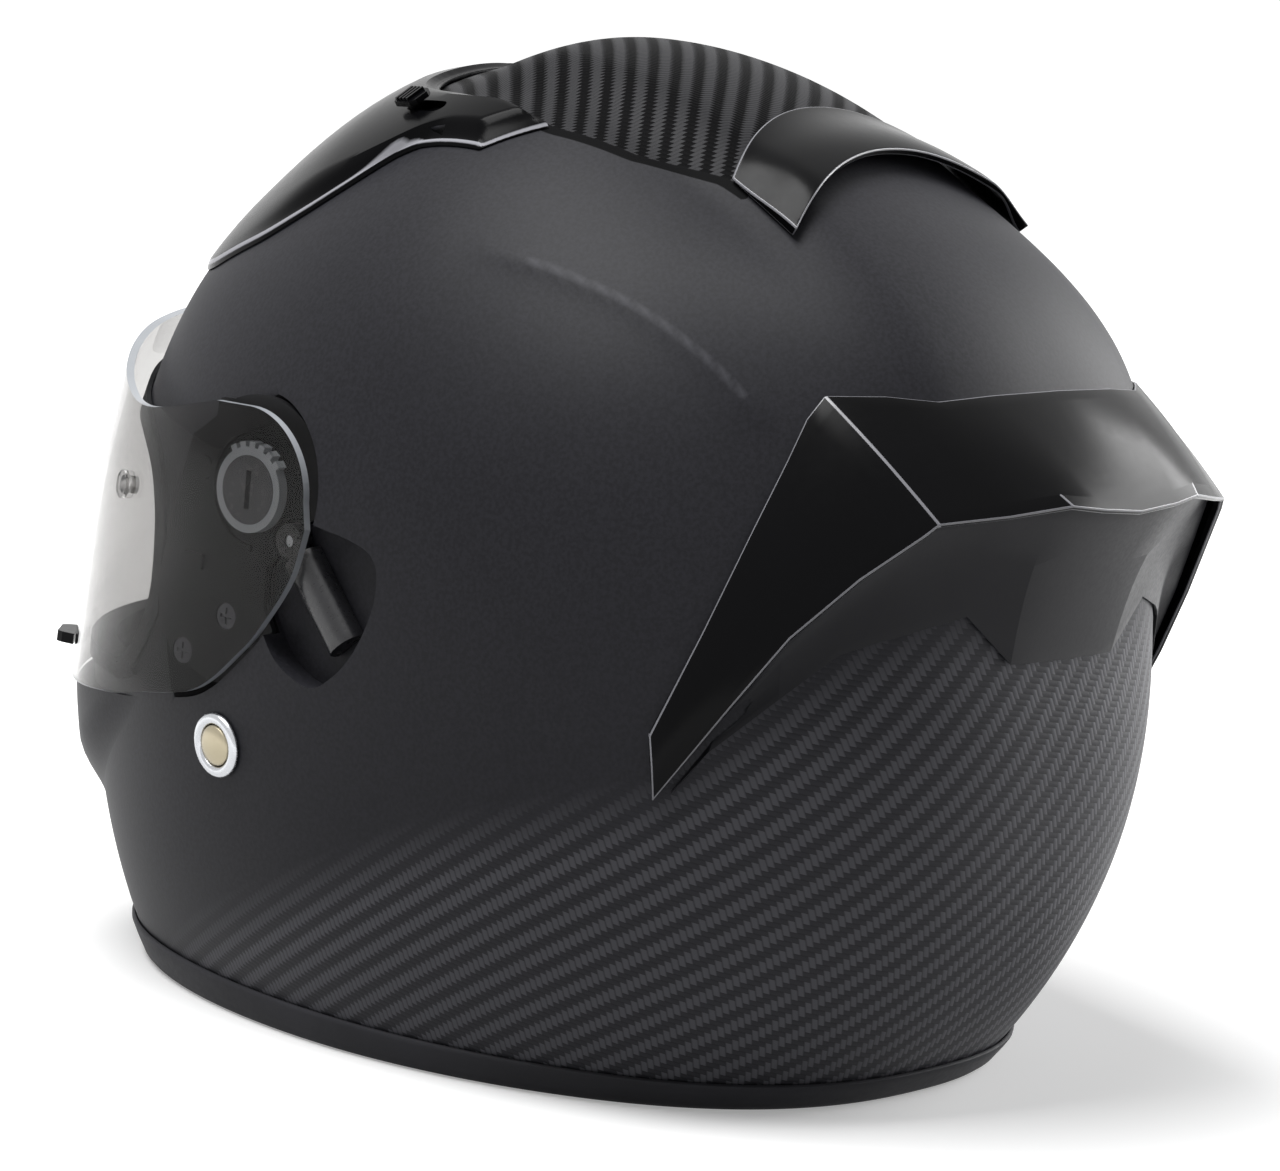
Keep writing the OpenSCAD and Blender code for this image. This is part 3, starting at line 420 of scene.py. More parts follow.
def carve(
    obj: Piece,
    join: Sequence[Piece] = (),
    only: Sequence[Piece] = (),
    away: Sequence[Piece] = (),
    sharp: float = 32.0,
) -> Piece:
    """Applies cutters to a closed piece one after another and removes them.

    Args:
        obj: The piece.
        join: Solids that are added to it first.
        only: Solids outside of which nothing stays.
        away: Solids that are cut away last.
        sharp: Angle in degrees past which an edge stays sharp.

    Returns:
        The piece.
    """
    for cutters, operation in ((join, "UNION"), (only, "INTERSECT"), (away, "DIFFERENCE")):
        for cutter in cutters:
            mod = obj.modifiers.new("cut", "BOOLEAN")
            mod.operation = operation
            mod.solver = "MANIFOLD"
            mod.object = cutter
            keep_modifiers(obj, sharp)
            if len(obj.data.polygons) == 0:
                raise RuntimeError(f"{obj.name}: the cut {operation} left nothing")
            bpy.data.objects.remove(cutter)
    return obj


def keep_modifiers(obj: Piece, sharp: float = 35.0) -> Piece:
    """Puts the result of the modifiers into the mesh.

    Args:
        obj: The piece.
        sharp: Angle in degrees past which an edge stays sharp.

    Returns:
        The piece.
    """
    graph = bpy.context.evaluated_depsgraph_get()
    made = bpy.data.meshes.new_from_object(obj.evaluated_get(graph))
    old = obj.data
    obj.modifiers.clear()
    obj.data = made
    bpy.data.meshes.remove(old)
    made.name = obj.name
    smooth(obj, sharp)
    return obj


def rounded(obj: Piece, width: float, angle: float = 30.0, slot: int = -1) -> Piece:
    """Adds a rounding of the sharp edges that carve or keep_modifiers then puts into the mesh.

    Args:
        obj: The piece.
        width: Width of the rounding in millimetres.
        angle: Bend in degrees past which an edge counts as sharp.
        slot: Number of the finish that the rounding gets, or -1 for that of its faces.

    Returns:
        The piece.
    """
    mod = obj.modifiers.new("round", "BEVEL")
    mod.width = width * MM
    mod.segments = 3
    mod.limit_method = "ANGLE"
    mod.angle_limit = math.radians(angle)
    mod.use_clamp_overlap = True
    mod.harden_normals = False
    mod.material = slot
    return obj


def merged(obj: Piece, near: float = 0.00002) -> None:
    """Joins points that lie together and drops faces that this leaves without area.

    Args:
        obj: The piece.
        near: Distance in metres at which points are joined.
    """
    bm = bmesh.new()
    bm.from_mesh(obj.data)
    bmesh.ops.remove_doubles(bm, verts=bm.verts, dist=near)
    bmesh.ops.dissolve_degenerate(bm, edges=bm.edges, dist=near / 4)
    bmesh.ops.recalc_face_normals(bm, faces=bm.faces)
    bm.to_mesh(obj.data)
    bm.free()


# The helmet's form


@dataclass(frozen=True)
class HelmetForm:
    """Egg-like form round a side axis: a reach for each longitude, closed by a superellipse."""

    half_width: float = 125.5
    reaches: tuple = (143, 136, 129.5, 129, 128.5, 140, 150, 168.5, 186, 205, 196.5, 169)
    axis_y: float = -6.5
    axis_z: float = 135.0
    squareness: float = 2.17
    swing: float = 0.15
    crown_h: float = 0.0
    tail_h: float = 0.0
    chin_h: float = 0.0

    def lift(self, lon: Points, lat: Points) -> Points:
        """Height that the crown band, the tail and the chin add.

        Args:
            lon: Longitude in degrees.
            lat: Latitude in degrees.

        Returns:
            The height in millimetres: each part eases up and down again along and across.
        """
        side = np.abs(lat)
        height = np.zeros(np.broadcast(lon, lat).shape)
        if self.tail_h:
            height = self.tail_h * window(lon, 126, 30, 188, 24) * ease((38 - side) / 24)
        if self.crown_h:
            height = height + self.crown_h * window(lon, 74, 15, 152, 30) * ease((25.5 - side) / 11)
        if self.chin_h:
            height = height + self.chin_h * window(lon, 320.5, 7, 356, 12) * ease((66 - side) / 24)
        return height

    def power(self, lon: Points) -> Points:
        """The superellipse's exponent at a longitude in degrees."""
        a = np.radians(lon)
        return self.squareness - self.swing * (np.sin(a) + np.cos(a))

    def point(self, off: Points, lon: Points, lat: Points) -> Points:
        """Points of the form at a stand-off.

        Args:
            off: Stand-off in millimetres.
            lon: Longitude in degrees: 0 in front, 90 at the crown, 180 behind.
            lat: Latitude in degrees: 90 at the left side.

        Returns:
            Points in millimetres.
        """
        lon, lat = np.broadcast_arrays(np.asarray(lon, float), np.asarray(lat, float))
        a, b = np.radians(lon), np.radians(lat)
        n = self.power(lon)
        h = off + self.lift(lon, lat)
        c = (ring_value(self.reaches, lon) + h) * np.maximum(np.cos(b), 0) ** (2 / n)
        x = (self.half_width + h) * np.sign(b) * np.abs(np.sin(b)) ** (2 / n)
        return np.stack([x, self.axis_y - c * np.cos(a), self.axis_z + c * np.sin(a)], -1)

    def normal(self, lon: Points, lat: Points) -> Points:
        """Outward direction of the surface, from differences half a degree to each side.

        Args:
            lon: Longitude in degrees.
            lat: Latitude in degrees.

        Returns:
            Directions of length one.
        """
        over = self.point(0, lon, lat + 0.5) - self.point(0, lon, lat - 0.5)
        round_ = self.point(0, lon + 0.5, lat) - self.point(0, lon - 0.5, lat)
        return unit(np.cross(over, round_))

    def where(self, p: Points) -> tuple[Points, Points]:
        """Longitude and latitude of the ray from the axis through each point.

        Args:
            p: Points in millimetres.

        Returns:
            Longitudes and latitudes in degrees.
        """
        d = p[..., 1:] - np.array([self.axis_y, self.axis_z])
        lon = np.degrees(np.arctan2(d[..., 1], -d[..., 0])) % 360
        n = self.power(lon)
        s = (np.abs(p[..., 0]) / self.half_width) ** (n / 2)
        c = (np.linalg.norm(d, axis=-1) / ring_value(self.reaches, lon)) ** (n / 2)
        return lon, np.degrees(np.arctan2(s, c)) * np.sign(p[..., 0])

    def level(self, p: Points, off: Points) -> Points:
        """Tells inside from outside by the superellipse's own sum of powers.

        Args:
            p: Points in millimetres.
            off: Stand-off in millimetres.

        Returns:
            Less than 1 inside the form at the stand-off, 1 on it and more outside.
        """
        d = p[..., 1:] - np.array([self.axis_y, self.axis_z])
        lon, lat = self.where(p)
        n = self.power(lon)
        h = off + self.lift(lon, lat)
        r = np.linalg.norm(d, axis=-1) / (ring_value(self.reaches, lon) + h)
        return ((np.abs(p[..., 0]) / (self.half_width + h)) ** n + r**n) ** (1 / n)

    def cast(self, origin: Points, direction: Points, off: Points) -> Points:
        """Points where rays from inside leave the form, by halving the interval forty times.

        Args:
            origin: Where the rays start, in millimetres.
            direction: Their directions, of length one.
            off: Stand-off of the form for each ray.

        Returns:
            Points in millimetres.
        """
        low = np.zeros(origin.shape[:-1])
        high = np.full(origin.shape[:-1], 400.0)
        for _ in range(40):
            mid = (low + high) / 2
            inside = self.level(origin + mid[..., None] * direction, off) < 1
            low, high = np.where(inside, mid, low), np.where(inside, high, mid)
        return origin + low[..., None] * direction

    def solid(
        self,
        off: float,
        count: int,
        name: str = "cutter",
        extra: Optional[Callable[[Points, Points], Points]] = None,
    ) -> Piece:
        """Closed mesh of the form: rows of latitude between two poles at the sides.

        Args:
            off: Stand-off in millimetres.
            count: Number of longitudes, twice the number of steps of latitude.
            name: Name of the mesh.
            extra: Further stand-off as a function of longitude and latitude.

        Returns:
            The object.
        """
        steps = count // 2
        lat = -90 + 180 * np.arange(1, steps) / steps
        b, a = np.meshgrid(lat, 360 * np.arange(count) / count, indexing="ij")
        rows = self.point(off + (extra(a, b) if extra else 0), a, b).reshape(-1, 3)
        pole = np.array([[self.half_width + off, self.axis_y, self.axis_z]])
        points = np.concatenate([pole * [-1, 1, 1], rows, pole])
        i = np.arange(count)
        j = (i + 1) % count
        top = 1 + (steps - 2) * count
        quads = (grid_faces(steps - 1, count, wrap_cols=True) + 1).tolist()
        fans = np.stack([np.zeros(count, int), 1 + i, 1 + j], -1).tolist()
        fans += np.stack([np.full(count, len(points) - 1), top + j, top + i], -1).tolist()
        return outwards(put_mesh(name, points, quads + fans))


PLAIN = HelmetForm()
SHELL = HelmetForm(crown_h=4.6, tail_h=10)
CHIN = HelmetForm(chin_h=5.4)
VISOR = HelmetForm(
    half_width=124.8,
    reaches=(123.5, 119, 119, 150, 200, 260, 260, 260, 260, 260, 230, 154),
    axis_y=-28.2,
    axis_z=146.6,
    squareness=1.97,
    swing=0.0,
)
PIVOT = np.array([VISOR.axis_y, VISOR.axis_z])


# Side outlines, [behind, above] the visor pivot


def visor_outline(n: int) -> Points:
    """Side outline of the clear shield: two curves joined by a quarter of a circle behind.

    Args:
        n: Number of pieces between the points of its curves.

    Returns:
        The corners.
    """
    low = [[-190, -68.5], [-100, -68], [-57, -64.5], [-39, -61], [-15, -55.5], [2.6, -42],
           [11.4, -32], [19.2, -20], [23.1, -7]]
    high = [[-14, 21.5], [-36, 16.5], [-49, 14.7], [-60, 15.5], [-75, 19.5], [-90, 25],
            [-105, 30], [-125, 33], [-190, 35]]
    return np.concatenate([smooth_line(low, n), arc(22, 0, 90, 20), smooth_line(high, n)])


def port_outline(n: int) -> Points:
    """Side outline of the eye port."""
    line = [[-220, -57], [-70, -57], [-54, -55.5], [-44, -47], [-38, -36], [-37.5, -25],
            [-41, -12], [-49, -1], [-62, 6], [-80, 10], [-110, 17], [-220, 21]]
    return smooth_line(line, n)


def well_outline(n: int) -> Points:
    """Side outline of the finger well behind the release lever."""
    line = [[6, -20], [18, -6.5], [30, -6], [45, -10], [47.5, -21], [42, -35], [34, -44],
            [26, -47.5], [14, -42], [6, -30]]
    return smooth_line(line, n)


LEVER_PIN = np.array([13.5, -11.5])


def sideways(o: Points, x: float) -> Points:
    """Places a side outline at a distance x from the middle."""
    return np.stack([np.full(len(o), x), PIVOT[0] + o[:, 0], PIVOT[1] + o[:, 1]], -1)


def upwards(o: Points, z: float) -> Points:
    """Places a plan outline, [left, behind the side axis], at a height z."""
    return np.stack([o[:, 0], o[:, 1] + PLAIN.axis_y, np.full(len(o), z)], -1)


def backwards(o: Points, y: float) -> Points:
    """Places a front outline at a place y along the helmet."""
    return np.stack([o[:, 0], np.full(len(o), y), o[:, 1]], -1)


def through(outline: Points) -> Piece:
    """Cutter on a side outline, right through the helmet."""
    return prism(outline, -FAR, FAR, sideways)


def beside(outline: Points, side: int, near: float, far: float = ASIDE) -> Piece:
    """Cutter on a side outline, on one side and between two distances from the middle."""
    return prism(outline, side * near, side * far, sideways)


def ahead(half_w: float, low: float, high: float, r: float, steps: int = 4) -> Piece:
    """Cutter on a rounded box seen from in front, through the chin and no further."""
    return prism(rounded_box(half_w, low, high, r, steps), -FAR, -66, backwards)


@dataclass(frozen=True)
class Seat:
    """Place on the helmet with its own axes: z outwards, x close to a given direction."""

    origin: Points
    x: Points
    y: Points
    z: Points

    @staticmethod
    def on(form: HelmetForm, lon: float, lat: float, hint: Sequence[float]) -> "Seat":
        """Seat on a form's surface.

        Args:
            form: The form.
            lon: Longitude in degrees.
            lat: Latitude in degrees.
            hint: Direction that the x axis keeps close to.

        Returns:
            The seat.
        """
        normal = form.normal(lon, lat)
        hint = np.asarray(hint, float)
        x = unit(hint - np.dot(hint, normal) * normal)
        return Seat(form.point(0, lon, lat), x, np.cross(normal, x), normal)

    def put(self, p: Points) -> Points:
        """Points given in the seat's own axes, as points in space."""
        return self.origin + p[..., :1] * self.x + p[..., 1:2] * self.y + p[..., 2:] * self.z

    def along(self, o: Points, z: float) -> Points:
        """Flat outline in the seat's plane at a height z."""
        return self.put(np.concatenate([o, np.full((len(o), 1), z)], -1))

    def on_side(self, side: int) -> "Seat":
        """The same seat on the left side, 1, or on the right one, -1."""
        m = np.array([side, 1.0, 1.0])
        return Seat(self.origin * m, self.x * m, self.y * m, self.z * m)


RIVET = Seat.on(PLAIN, 296.5, 73.5, UP)
SLIDER = Seat.on(PLAIN, 79, 31, (0.2, 1, 0))


def lathe(name: str, profile: Points, seat: Seat) -> Piece:
    """Turns a profile round a seat's z axis.

    Args:
        name: Name of the piece.
        profile: Rows of radius and height; radii of nought close its ends.
        seat: The seat.

    Returns:
        The object.
    """
    steps, sharp = 96, 35.0
    a = 2 * math.pi * np.arange(steps) / steps
    r, h = profile[:, :1], np.broadcast_to(profile[:, 1:], (len(profile), steps))
    rows = seat.put(np.stack([r * np.cos(a), r * np.sin(a), h], -1)).reshape(-1, 3)
    hollow = profile[0, 0] > 0.01
    obj = put_mesh(name, rows, grid_faces(len(profile), steps, hollow, wrap_cols=True), sharp)
    merged(obj)
    outwards(obj)
    smooth(obj, sharp)
    return obj


def sweep(name: str, path: Points, outward: Points, profile: Points) -> Piece:
    """Profile carried along an open path and closed at both ends.

    Args:
        name: Name of the piece.
        path: Points of the path in millimetres.
        outward: Direction that the profile's second axis keeps to.
        profile: Closed flat profile, [across the path, outward].

    Returns:
        The object.
    """
    along = unit(np.gradient(path, axis=0))
    up = unit(outward - np.sum(outward * along, -1, keepdims=True) * along)
    across = np.cross(along, up)
    rows = path[:, None] + profile[None, :, :1] * across[:, None] + profile[None, :, 1:] * up[:, None]
    n, m = rows.shape[:2]
    faces = grid_faces(n, m, wrap_cols=True).tolist()
    faces += [list(range(m)), list(range((n - 1) * m, n * m))[::-1]]
    return outwards(put_mesh(name, rows.reshape(-1, 3), faces))


# Colours and finishes


def linear(code: str) -> tuple[float, float, float, float]:
    """Turns an sRGB hex value into a linear colour.

    Args:
        code: The hex value, such as #2b2b2e.

    Returns:
        Red, green and blue between 0 and 1, and an alpha of 1.
    """
    c = np.array([int(code[i : i + 2], 16) / 255 for i in (1, 3, 5)])
    c = np.where(c <= 0.04045, c / 12.92, ((c + 0.055) / 1.055) ** 2.4)
    return (*c.tolist(), 1.0)


def node(tree: Tree, kind: str, links: Optional[dict] = None, **settings: object) -> bpy.types.Node:
    """Adds a shader node.

    Args:
        tree: The material's tree.
        kind: The node's type without its leading ShaderNode.
        links: For each input, by name or number, a value, a hex colour, a socket to link, or a
            node whose first output in use is linked.
        **settings: Properties of the node itself.

    Returns:
        The node.
    """
    made = tree.nodes.new("ShaderNode" + kind)
    for key, value in settings.items():
        setattr(made, key, value)
    for key, value in (links or {}).items():
        if isinstance(value, bpy.types.Node):
            value = next(socket for socket in value.outputs if socket.enabled)
        if isinstance(value, bpy.types.NodeSocket):
            tree.links.new(value, made.inputs[key])
        else:
            made.inputs[key].default_value = linear(value) if isinstance(value, str) else value
    return made


@dataclass(frozen=True)
class Finish:
    """A surface: its colours, its gloss and the size of its grain in millimetres."""

    name: str
    colour: str
    second: str
    roughness: float
    slot: str
    specular: float = 0.5
    metallic: float = 0.0
    grain_mm: float = 0.5
    bump: float = 0.1
    rough_swing: float = 0.08
    extra: dict = field(default_factory=dict)

    def material(self) -> bpy.types.Material:
        """Makes a Principled material with this finish's plain values and paints it.

        Returns:
            The material.
        """
        mat = bpy.data.materials.new(self.name)
        mat.use_nodes = True
        tree = mat.node_tree
        tree.nodes.clear()
        plain = {"Roughness": self.roughness, "Metallic": self.metallic, "Specular IOR Level": self.specular}
        shader = node(tree, "BsdfPrincipled", {**plain, **self.extra})
        node(tree, "OutputMaterial", {0: shader})
        for name, made in self.paint(tree).items():
            output = next(socket for socket in made.outputs if socket.enabled)
            tree.links.new(output, shader.inputs[name])
        return mat

    def tones(self, tree: Tree, share: bpy.types.Node) -> bpy.types.Node:
        """Colour between this finish's two tones."""
        return node(tree, "Mix", {0: share, 6: self.colour, 7: self.second}, data_type="RGBA")

    def paint(self, tree: Tree) -> dict[str, bpy.types.Node]:
        """Lets the colour drift between the two tones; a fine grain sets roughness and bump.

        Args:
            tree: The material's tree.

        Returns:
            For each input of the Principled shader that varies, the node that feeds it.
        """
        place = node(tree, "TexCoord").outputs["Object"]
        broad = node(tree, "TexNoise", {"Vector": place, "Scale": 30.0, "Detail": 3.0})
        grain = node(tree, "TexNoise", {"Vector": place, "Scale": 500.0 / self.grain_mm, "Detail": 2.0})
        dull, keen = self.roughness + self.rough_swing / 2, self.roughness - self.rough_swing / 2
        height = {"Strength": self.bump, "Distance": self.grain_mm * MM * 0.3, "Height": grain}
        return {
            "Base Color": self.tones(tree, node(tree, "MapRange", {0: broad, 1: 0.3, 2: 0.7})),
            "Roughness": node(tree, "MapRange", {0: grain, 1: 0.3, 2: 0.7, 3: keen, 4: dull}),
            "Normal": node(tree, "Bump", height),
        }


@dataclass(frozen=True)
class PaintedCarbon(Finish):
    """Matte lacquer over a shell, with bare twill at the crown and low at the back.

    The weave attribute gives the two tow counts and the crown's share. The edges attribute
    gives distances in millimetres past the crown's edge, past the low edge and from the crease.
    """

    # Painted sheen: in each pair the warp's tone is paler than the weft's, for the tows' highlight, and the
    # low twill's tones are paler than the crown's, for the floor's light reflected low at the back
    low_warp_sheen: str = "#56565b"
    low_weft_sheen: str = "#2c2c30"
    top_warp_sheen: str = "#1e1e21"
    top_weft: str = "#060607"
    strip: str = "#0c0c0d"
    # Paler lacquer along the crease: a painted highlight where the ridge catches the light
    crease_highlight: str = "#5c5c62"

    def twill(self, tree: Tree, weave: Outputs) -> tuple[bpy.types.Node, ...]:
        """Weaves the tows: warp is on top where the tow numbers' difference, modulo 4, is under 2.

        Args:
            tree: The material's tree.
            weave: The two tow counts and the crown's share.

        Returns:
            The cloth's colour, the height across a tow, and 1 where the warp is on top.
        """
        whole = [node(tree, "Math", {0: count}, operation="FLOOR") for count in weave[:2]]
        part = [node(tree, "Math", {0: count}, operation="FRACT") for count in weave[:2]]
        step = node(tree, "Math", {0: whole[0], 1: whole[1]}, operation="SUBTRACT")
        turn = node(tree, "Math", {0: step, 1: 4.0}, operation="FLOORED_MODULO")
        over = node(tree, "Math", {0: turn, 1: 1.5}, operation="LESS_THAN")
        across = node(tree, "Mix", {0: over, 2: part[0], 3: part[1]}, data_type="FLOAT")
        angle = node(tree, "Math", {0: across, 1: math.pi}, operation="MULTIPLY")
        tow = node(tree, "Math", {0: angle}, operation="SINE")
        warp = node(tree, "Mix", {0: weave[2], 6: self.low_warp_sheen, 7: self.top_warp_sheen}, data_type="RGBA")
        weft = node(tree, "Mix", {0: weave[2], 6: self.low_weft_sheen, 7: self.top_weft}, data_type="RGBA")
        cloth = node(tree, "Mix", {0: over, 6: weft, 7: warp}, data_type="RGBA")
        # Painted shade across each tow: its colour falls to 0.45 of the tone at the tow's edges
        shade = node(tree, "MapRange", {0: tow, 1: 0.0, 2: 0.6, 3: 0.45, 4: 1.0})
        cloth = node(tree, "Mix", {0: 1.0, 6: cloth, 7: shade}, data_type="RGBA", blend_type="MULTIPLY")
        return cloth, tow, over

    def lacquer(self, tree: Tree, place: bpy.types.NodeSocket, fine: bpy.types.Node) -> bpy.types.Node:
        """Colour of the lacquer: two tones that drift, times a fine grit.

        Args:
            tree: The material's tree.
            place: The object's own coordinates.
            fine: The grit's noise.

        Returns:
            The node that gives the colour.
        """
        broad = node(tree, "TexNoise", {"Vector": place, "Scale": 14.0, "Detail": 3.0})
        side = self.tones(tree, node(tree, "MapRange", {0: broad, 1: 0.35, 2: 0.65}))
        grit = node(tree, "MapRange", {0: fine, 1: 0.35, 2: 0.65, 3: 0.8, 4: 1.2})
        return node(tree, "Mix", {0: 1.0, 6: side, 7: grit}, data_type="RGBA", blend_type="MULTIPLY")

    def paint(self, tree: Tree) -> dict[str, bpy.types.Node]:
        """Lays lacquer, black strip and a crease's painted highlight beside the bare twill; black tows hardly
        shine.

        Args:
            tree: The material's tree.

        Returns:
            For each input of the Principled shader that varies, the node that feeds it.
        """
        place = node(tree, "TexCoord").outputs["Object"]
        names = "weave", "edges"
        stored = (node(tree, "Attribute", attribute_name=name).outputs["Vector"] for name in names)
        weave, edges = (node(tree, "SeparateXYZ", {0: vector}).outputs for vector in stored)
        cloth, tow, over = self.twill(tree, weave)
        fine = node(tree, "TexNoise", {"Vector": place, "Scale": 900.0, "Detail": 2.0})
        side = self.lacquer(tree, place, fine)
        in_strip = node(tree, "MapRange", {0: edges[0], 1: 3.2, 2: 3.6, 3: 1.0, 4: 0.0})
        side = node(tree, "Mix", {0: in_strip, 6: side, 7: self.strip}, data_type="RGBA")
        # Painted highlight along the crease: a third of the way to the paler tone on its line, gone 1.9 mm
        # from it
        ridge = node(tree, "MapRange", {0: edges[2], 1: 0.2, 2: 1.9, 3: 0.34, 4: 0.0})
        side = node(tree, "Mix", {0: ridge, 6: side, 7: self.crease_highlight}, data_type="RGBA")
        crown = node(tree, "MapRange", {0: edges[0], 1: -0.2, 2: 0.2, 3: 1.0, 4: 0.0})
        low = node(tree, "MapRange", {0: edges[1], 1: -6.0, 2: 10.0, 3: 0.0, 4: 1.0})
        bare = node(tree, "Math", {0: crown, 1: low}, operation="MAXIMUM")
        under = node(tree, "Math", {0: 1.0, 1: over}, operation="SUBTRACT")
        black = node(tree, "Mix", {0: crown, 2: in_strip, 3: under}, data_type="FLOAT")
        height = node(tree, "Math", {0: tow, 1: bare}, operation="MULTIPLY")
        ribs = node(tree, "Bump", {"Strength": 0.25, "Distance": 0.0003, "Height": height})
        grit = {"Strength": 0.12, "Distance": 0.0002, "Height": fine, "Normal": ribs}
        return {
            "Base Color": node(tree, "Mix", {0: bare, 6: side, 7: cloth}, data_type="RGBA"),
            "Specular IOR Level": node(tree, "MapRange", {0: black, 3: self.specular, 4: 0.02}),
            "Normal": node(tree, "Bump", grit),
        }


@dataclass(frozen=True)
class RimmedGloss(Finish):
    """Gloss plastic with a painted highlight, a pale line at its rim's radius; the rim attribute gives the
    distance from the rim in millimetres.
    """

    # Pale line along the rim: a painted highlight
    pale: str = "#a2a2a8"

    def paint(self, tree: Tree) -> dict[str, bpy.types.Node]:
        """Lays the painted highlight, a pale line 0.15 to 0.6 mm from the rim, over the plain paint's colour.

        Args:
            tree: The material's tree.

        Returns:
            For each input of the Principled shader that varies, the node that feeds it.
        """
        paint = super().paint(tree)
        stored = node(tree, "Attribute", attribute_name="rim").outputs["Vector"]
        rim = node(tree, "SeparateXYZ", {0: stored}).outputs[0]
        start = node(tree, "MapRange", {0: rim, 1: 0.1, 2: 0.2})
        end = node(tree, "MapRange", {0: rim, 1: 0.5, 2: 0.7, 3: 1.0, 4: 0.0})
        line = node(tree, "Math", {0: start, 1: end}, operation="MULTIPLY")
        colours = {0: line, 6: paint["Base Color"], 7: self.pale}
        return {**paint, "Base Color": node(tree, "Mix", colours, data_type="RGBA")}


@dataclass(frozen=True)
class ClearShield(Finish):
    """Clear polycarbonate with a hard coat: nearly colourless, sharp reflections."""

    def paint(self, tree: Tree) -> dict[str, bpy.types.Node]:
        """Clear body whose faint tint drifts with a broad noise."""
        place = node(tree, "TexCoord").outputs["Object"]
        return {"Base Color": self.tones(tree, node(tree, "TexNoise", {"Vector": place, "Scale": 12.0}))}


@dataclass(frozen=True)
class Cloth(Finish):
    """Woven or knitted cloth: two sine waves at right angles give threads of a real spacing."""

    def paint(self, tree: Tree) -> dict[str, bpy.types.Node]:
        """Makes the height the product of the two waves; the valleys between threads are painted darker, as
        painted shade.

        Args:
            tree: The material's tree.

        Returns:
            For each input of the Principled shader that varies, the node that feeds it.
        """
        place = node(tree, "TexCoord").outputs["Object"]
        x, y, z = node(tree, "SeparateXYZ", {0: place}).outputs
        turn = 2 * math.pi / (self.grain_mm * MM)
        waves = []
        for one, two, operation in ((x, y, "ADD"), (z, y, "SUBTRACT")):
            along = node(tree, "Math", {0: one, 1: two}, operation=operation)
            angle = node(tree, "Math", {0: along, 1: turn}, operation="MULTIPLY")
            waves.append(node(tree, "Math", {0: angle}, operation="SINE"))
        height = node(tree, "Math", {0: waves[0], 1: waves[1]}, operation="MULTIPLY")
        fuzz = node(tree, "TexNoise", {"Vector": place, "Scale": 90.0, "Detail": 4.0})
        fuzz = node(tree, "Math", {0: fuzz, 1: 0.4}, operation="MULTIPLY")
        # Painted shade: the colour follows the height, darker in the valleys between threads
        tone = node(tree, "MapRange", {0: height, 1: -1.0, 2: 1.0, 3: 0.0, 4: 0.7})
        return {
            "Base Color": self.tones(tree, node(tree, "Math", {0: tone, 1: fuzz}, operation="ADD")),
            "Normal": node(tree, "Bump", {"Strength": self.bump, "Distance": 0.0003, "Height": height}),
        }


@dataclass(frozen=True)
class BeadFoam(Finish):
    """Expanded polystyrene: beads pressed together, each a cell about 3 mm wide."""

    def paint(self, tree: Tree) -> dict[str, bpy.types.Node]:
        """Draws Voronoi cells: low joints between beads and a slightly different tone for each.

        Args:
            tree: The material's tree.

        Returns:
            For each input of the Principled shader that varies, the node that feeds it.
        """
        beads = {"Vector": node(tree, "TexCoord").outputs["Object"], "Scale": 1000.0 / self.grain_mm}
        cell = node(tree, "TexVoronoi", beads).outputs["Color"]
        joint = node(tree, "TexVoronoi", beads, feature="DISTANCE_TO_EDGE")
        return {
            "Base Color": self.tones(tree, node(tree, "SeparateXYZ", {0: cell})),
            "Normal": node(tree, "Bump", {"Strength": self.bump, "Distance": 0.0003, "Height": joint}),
        }


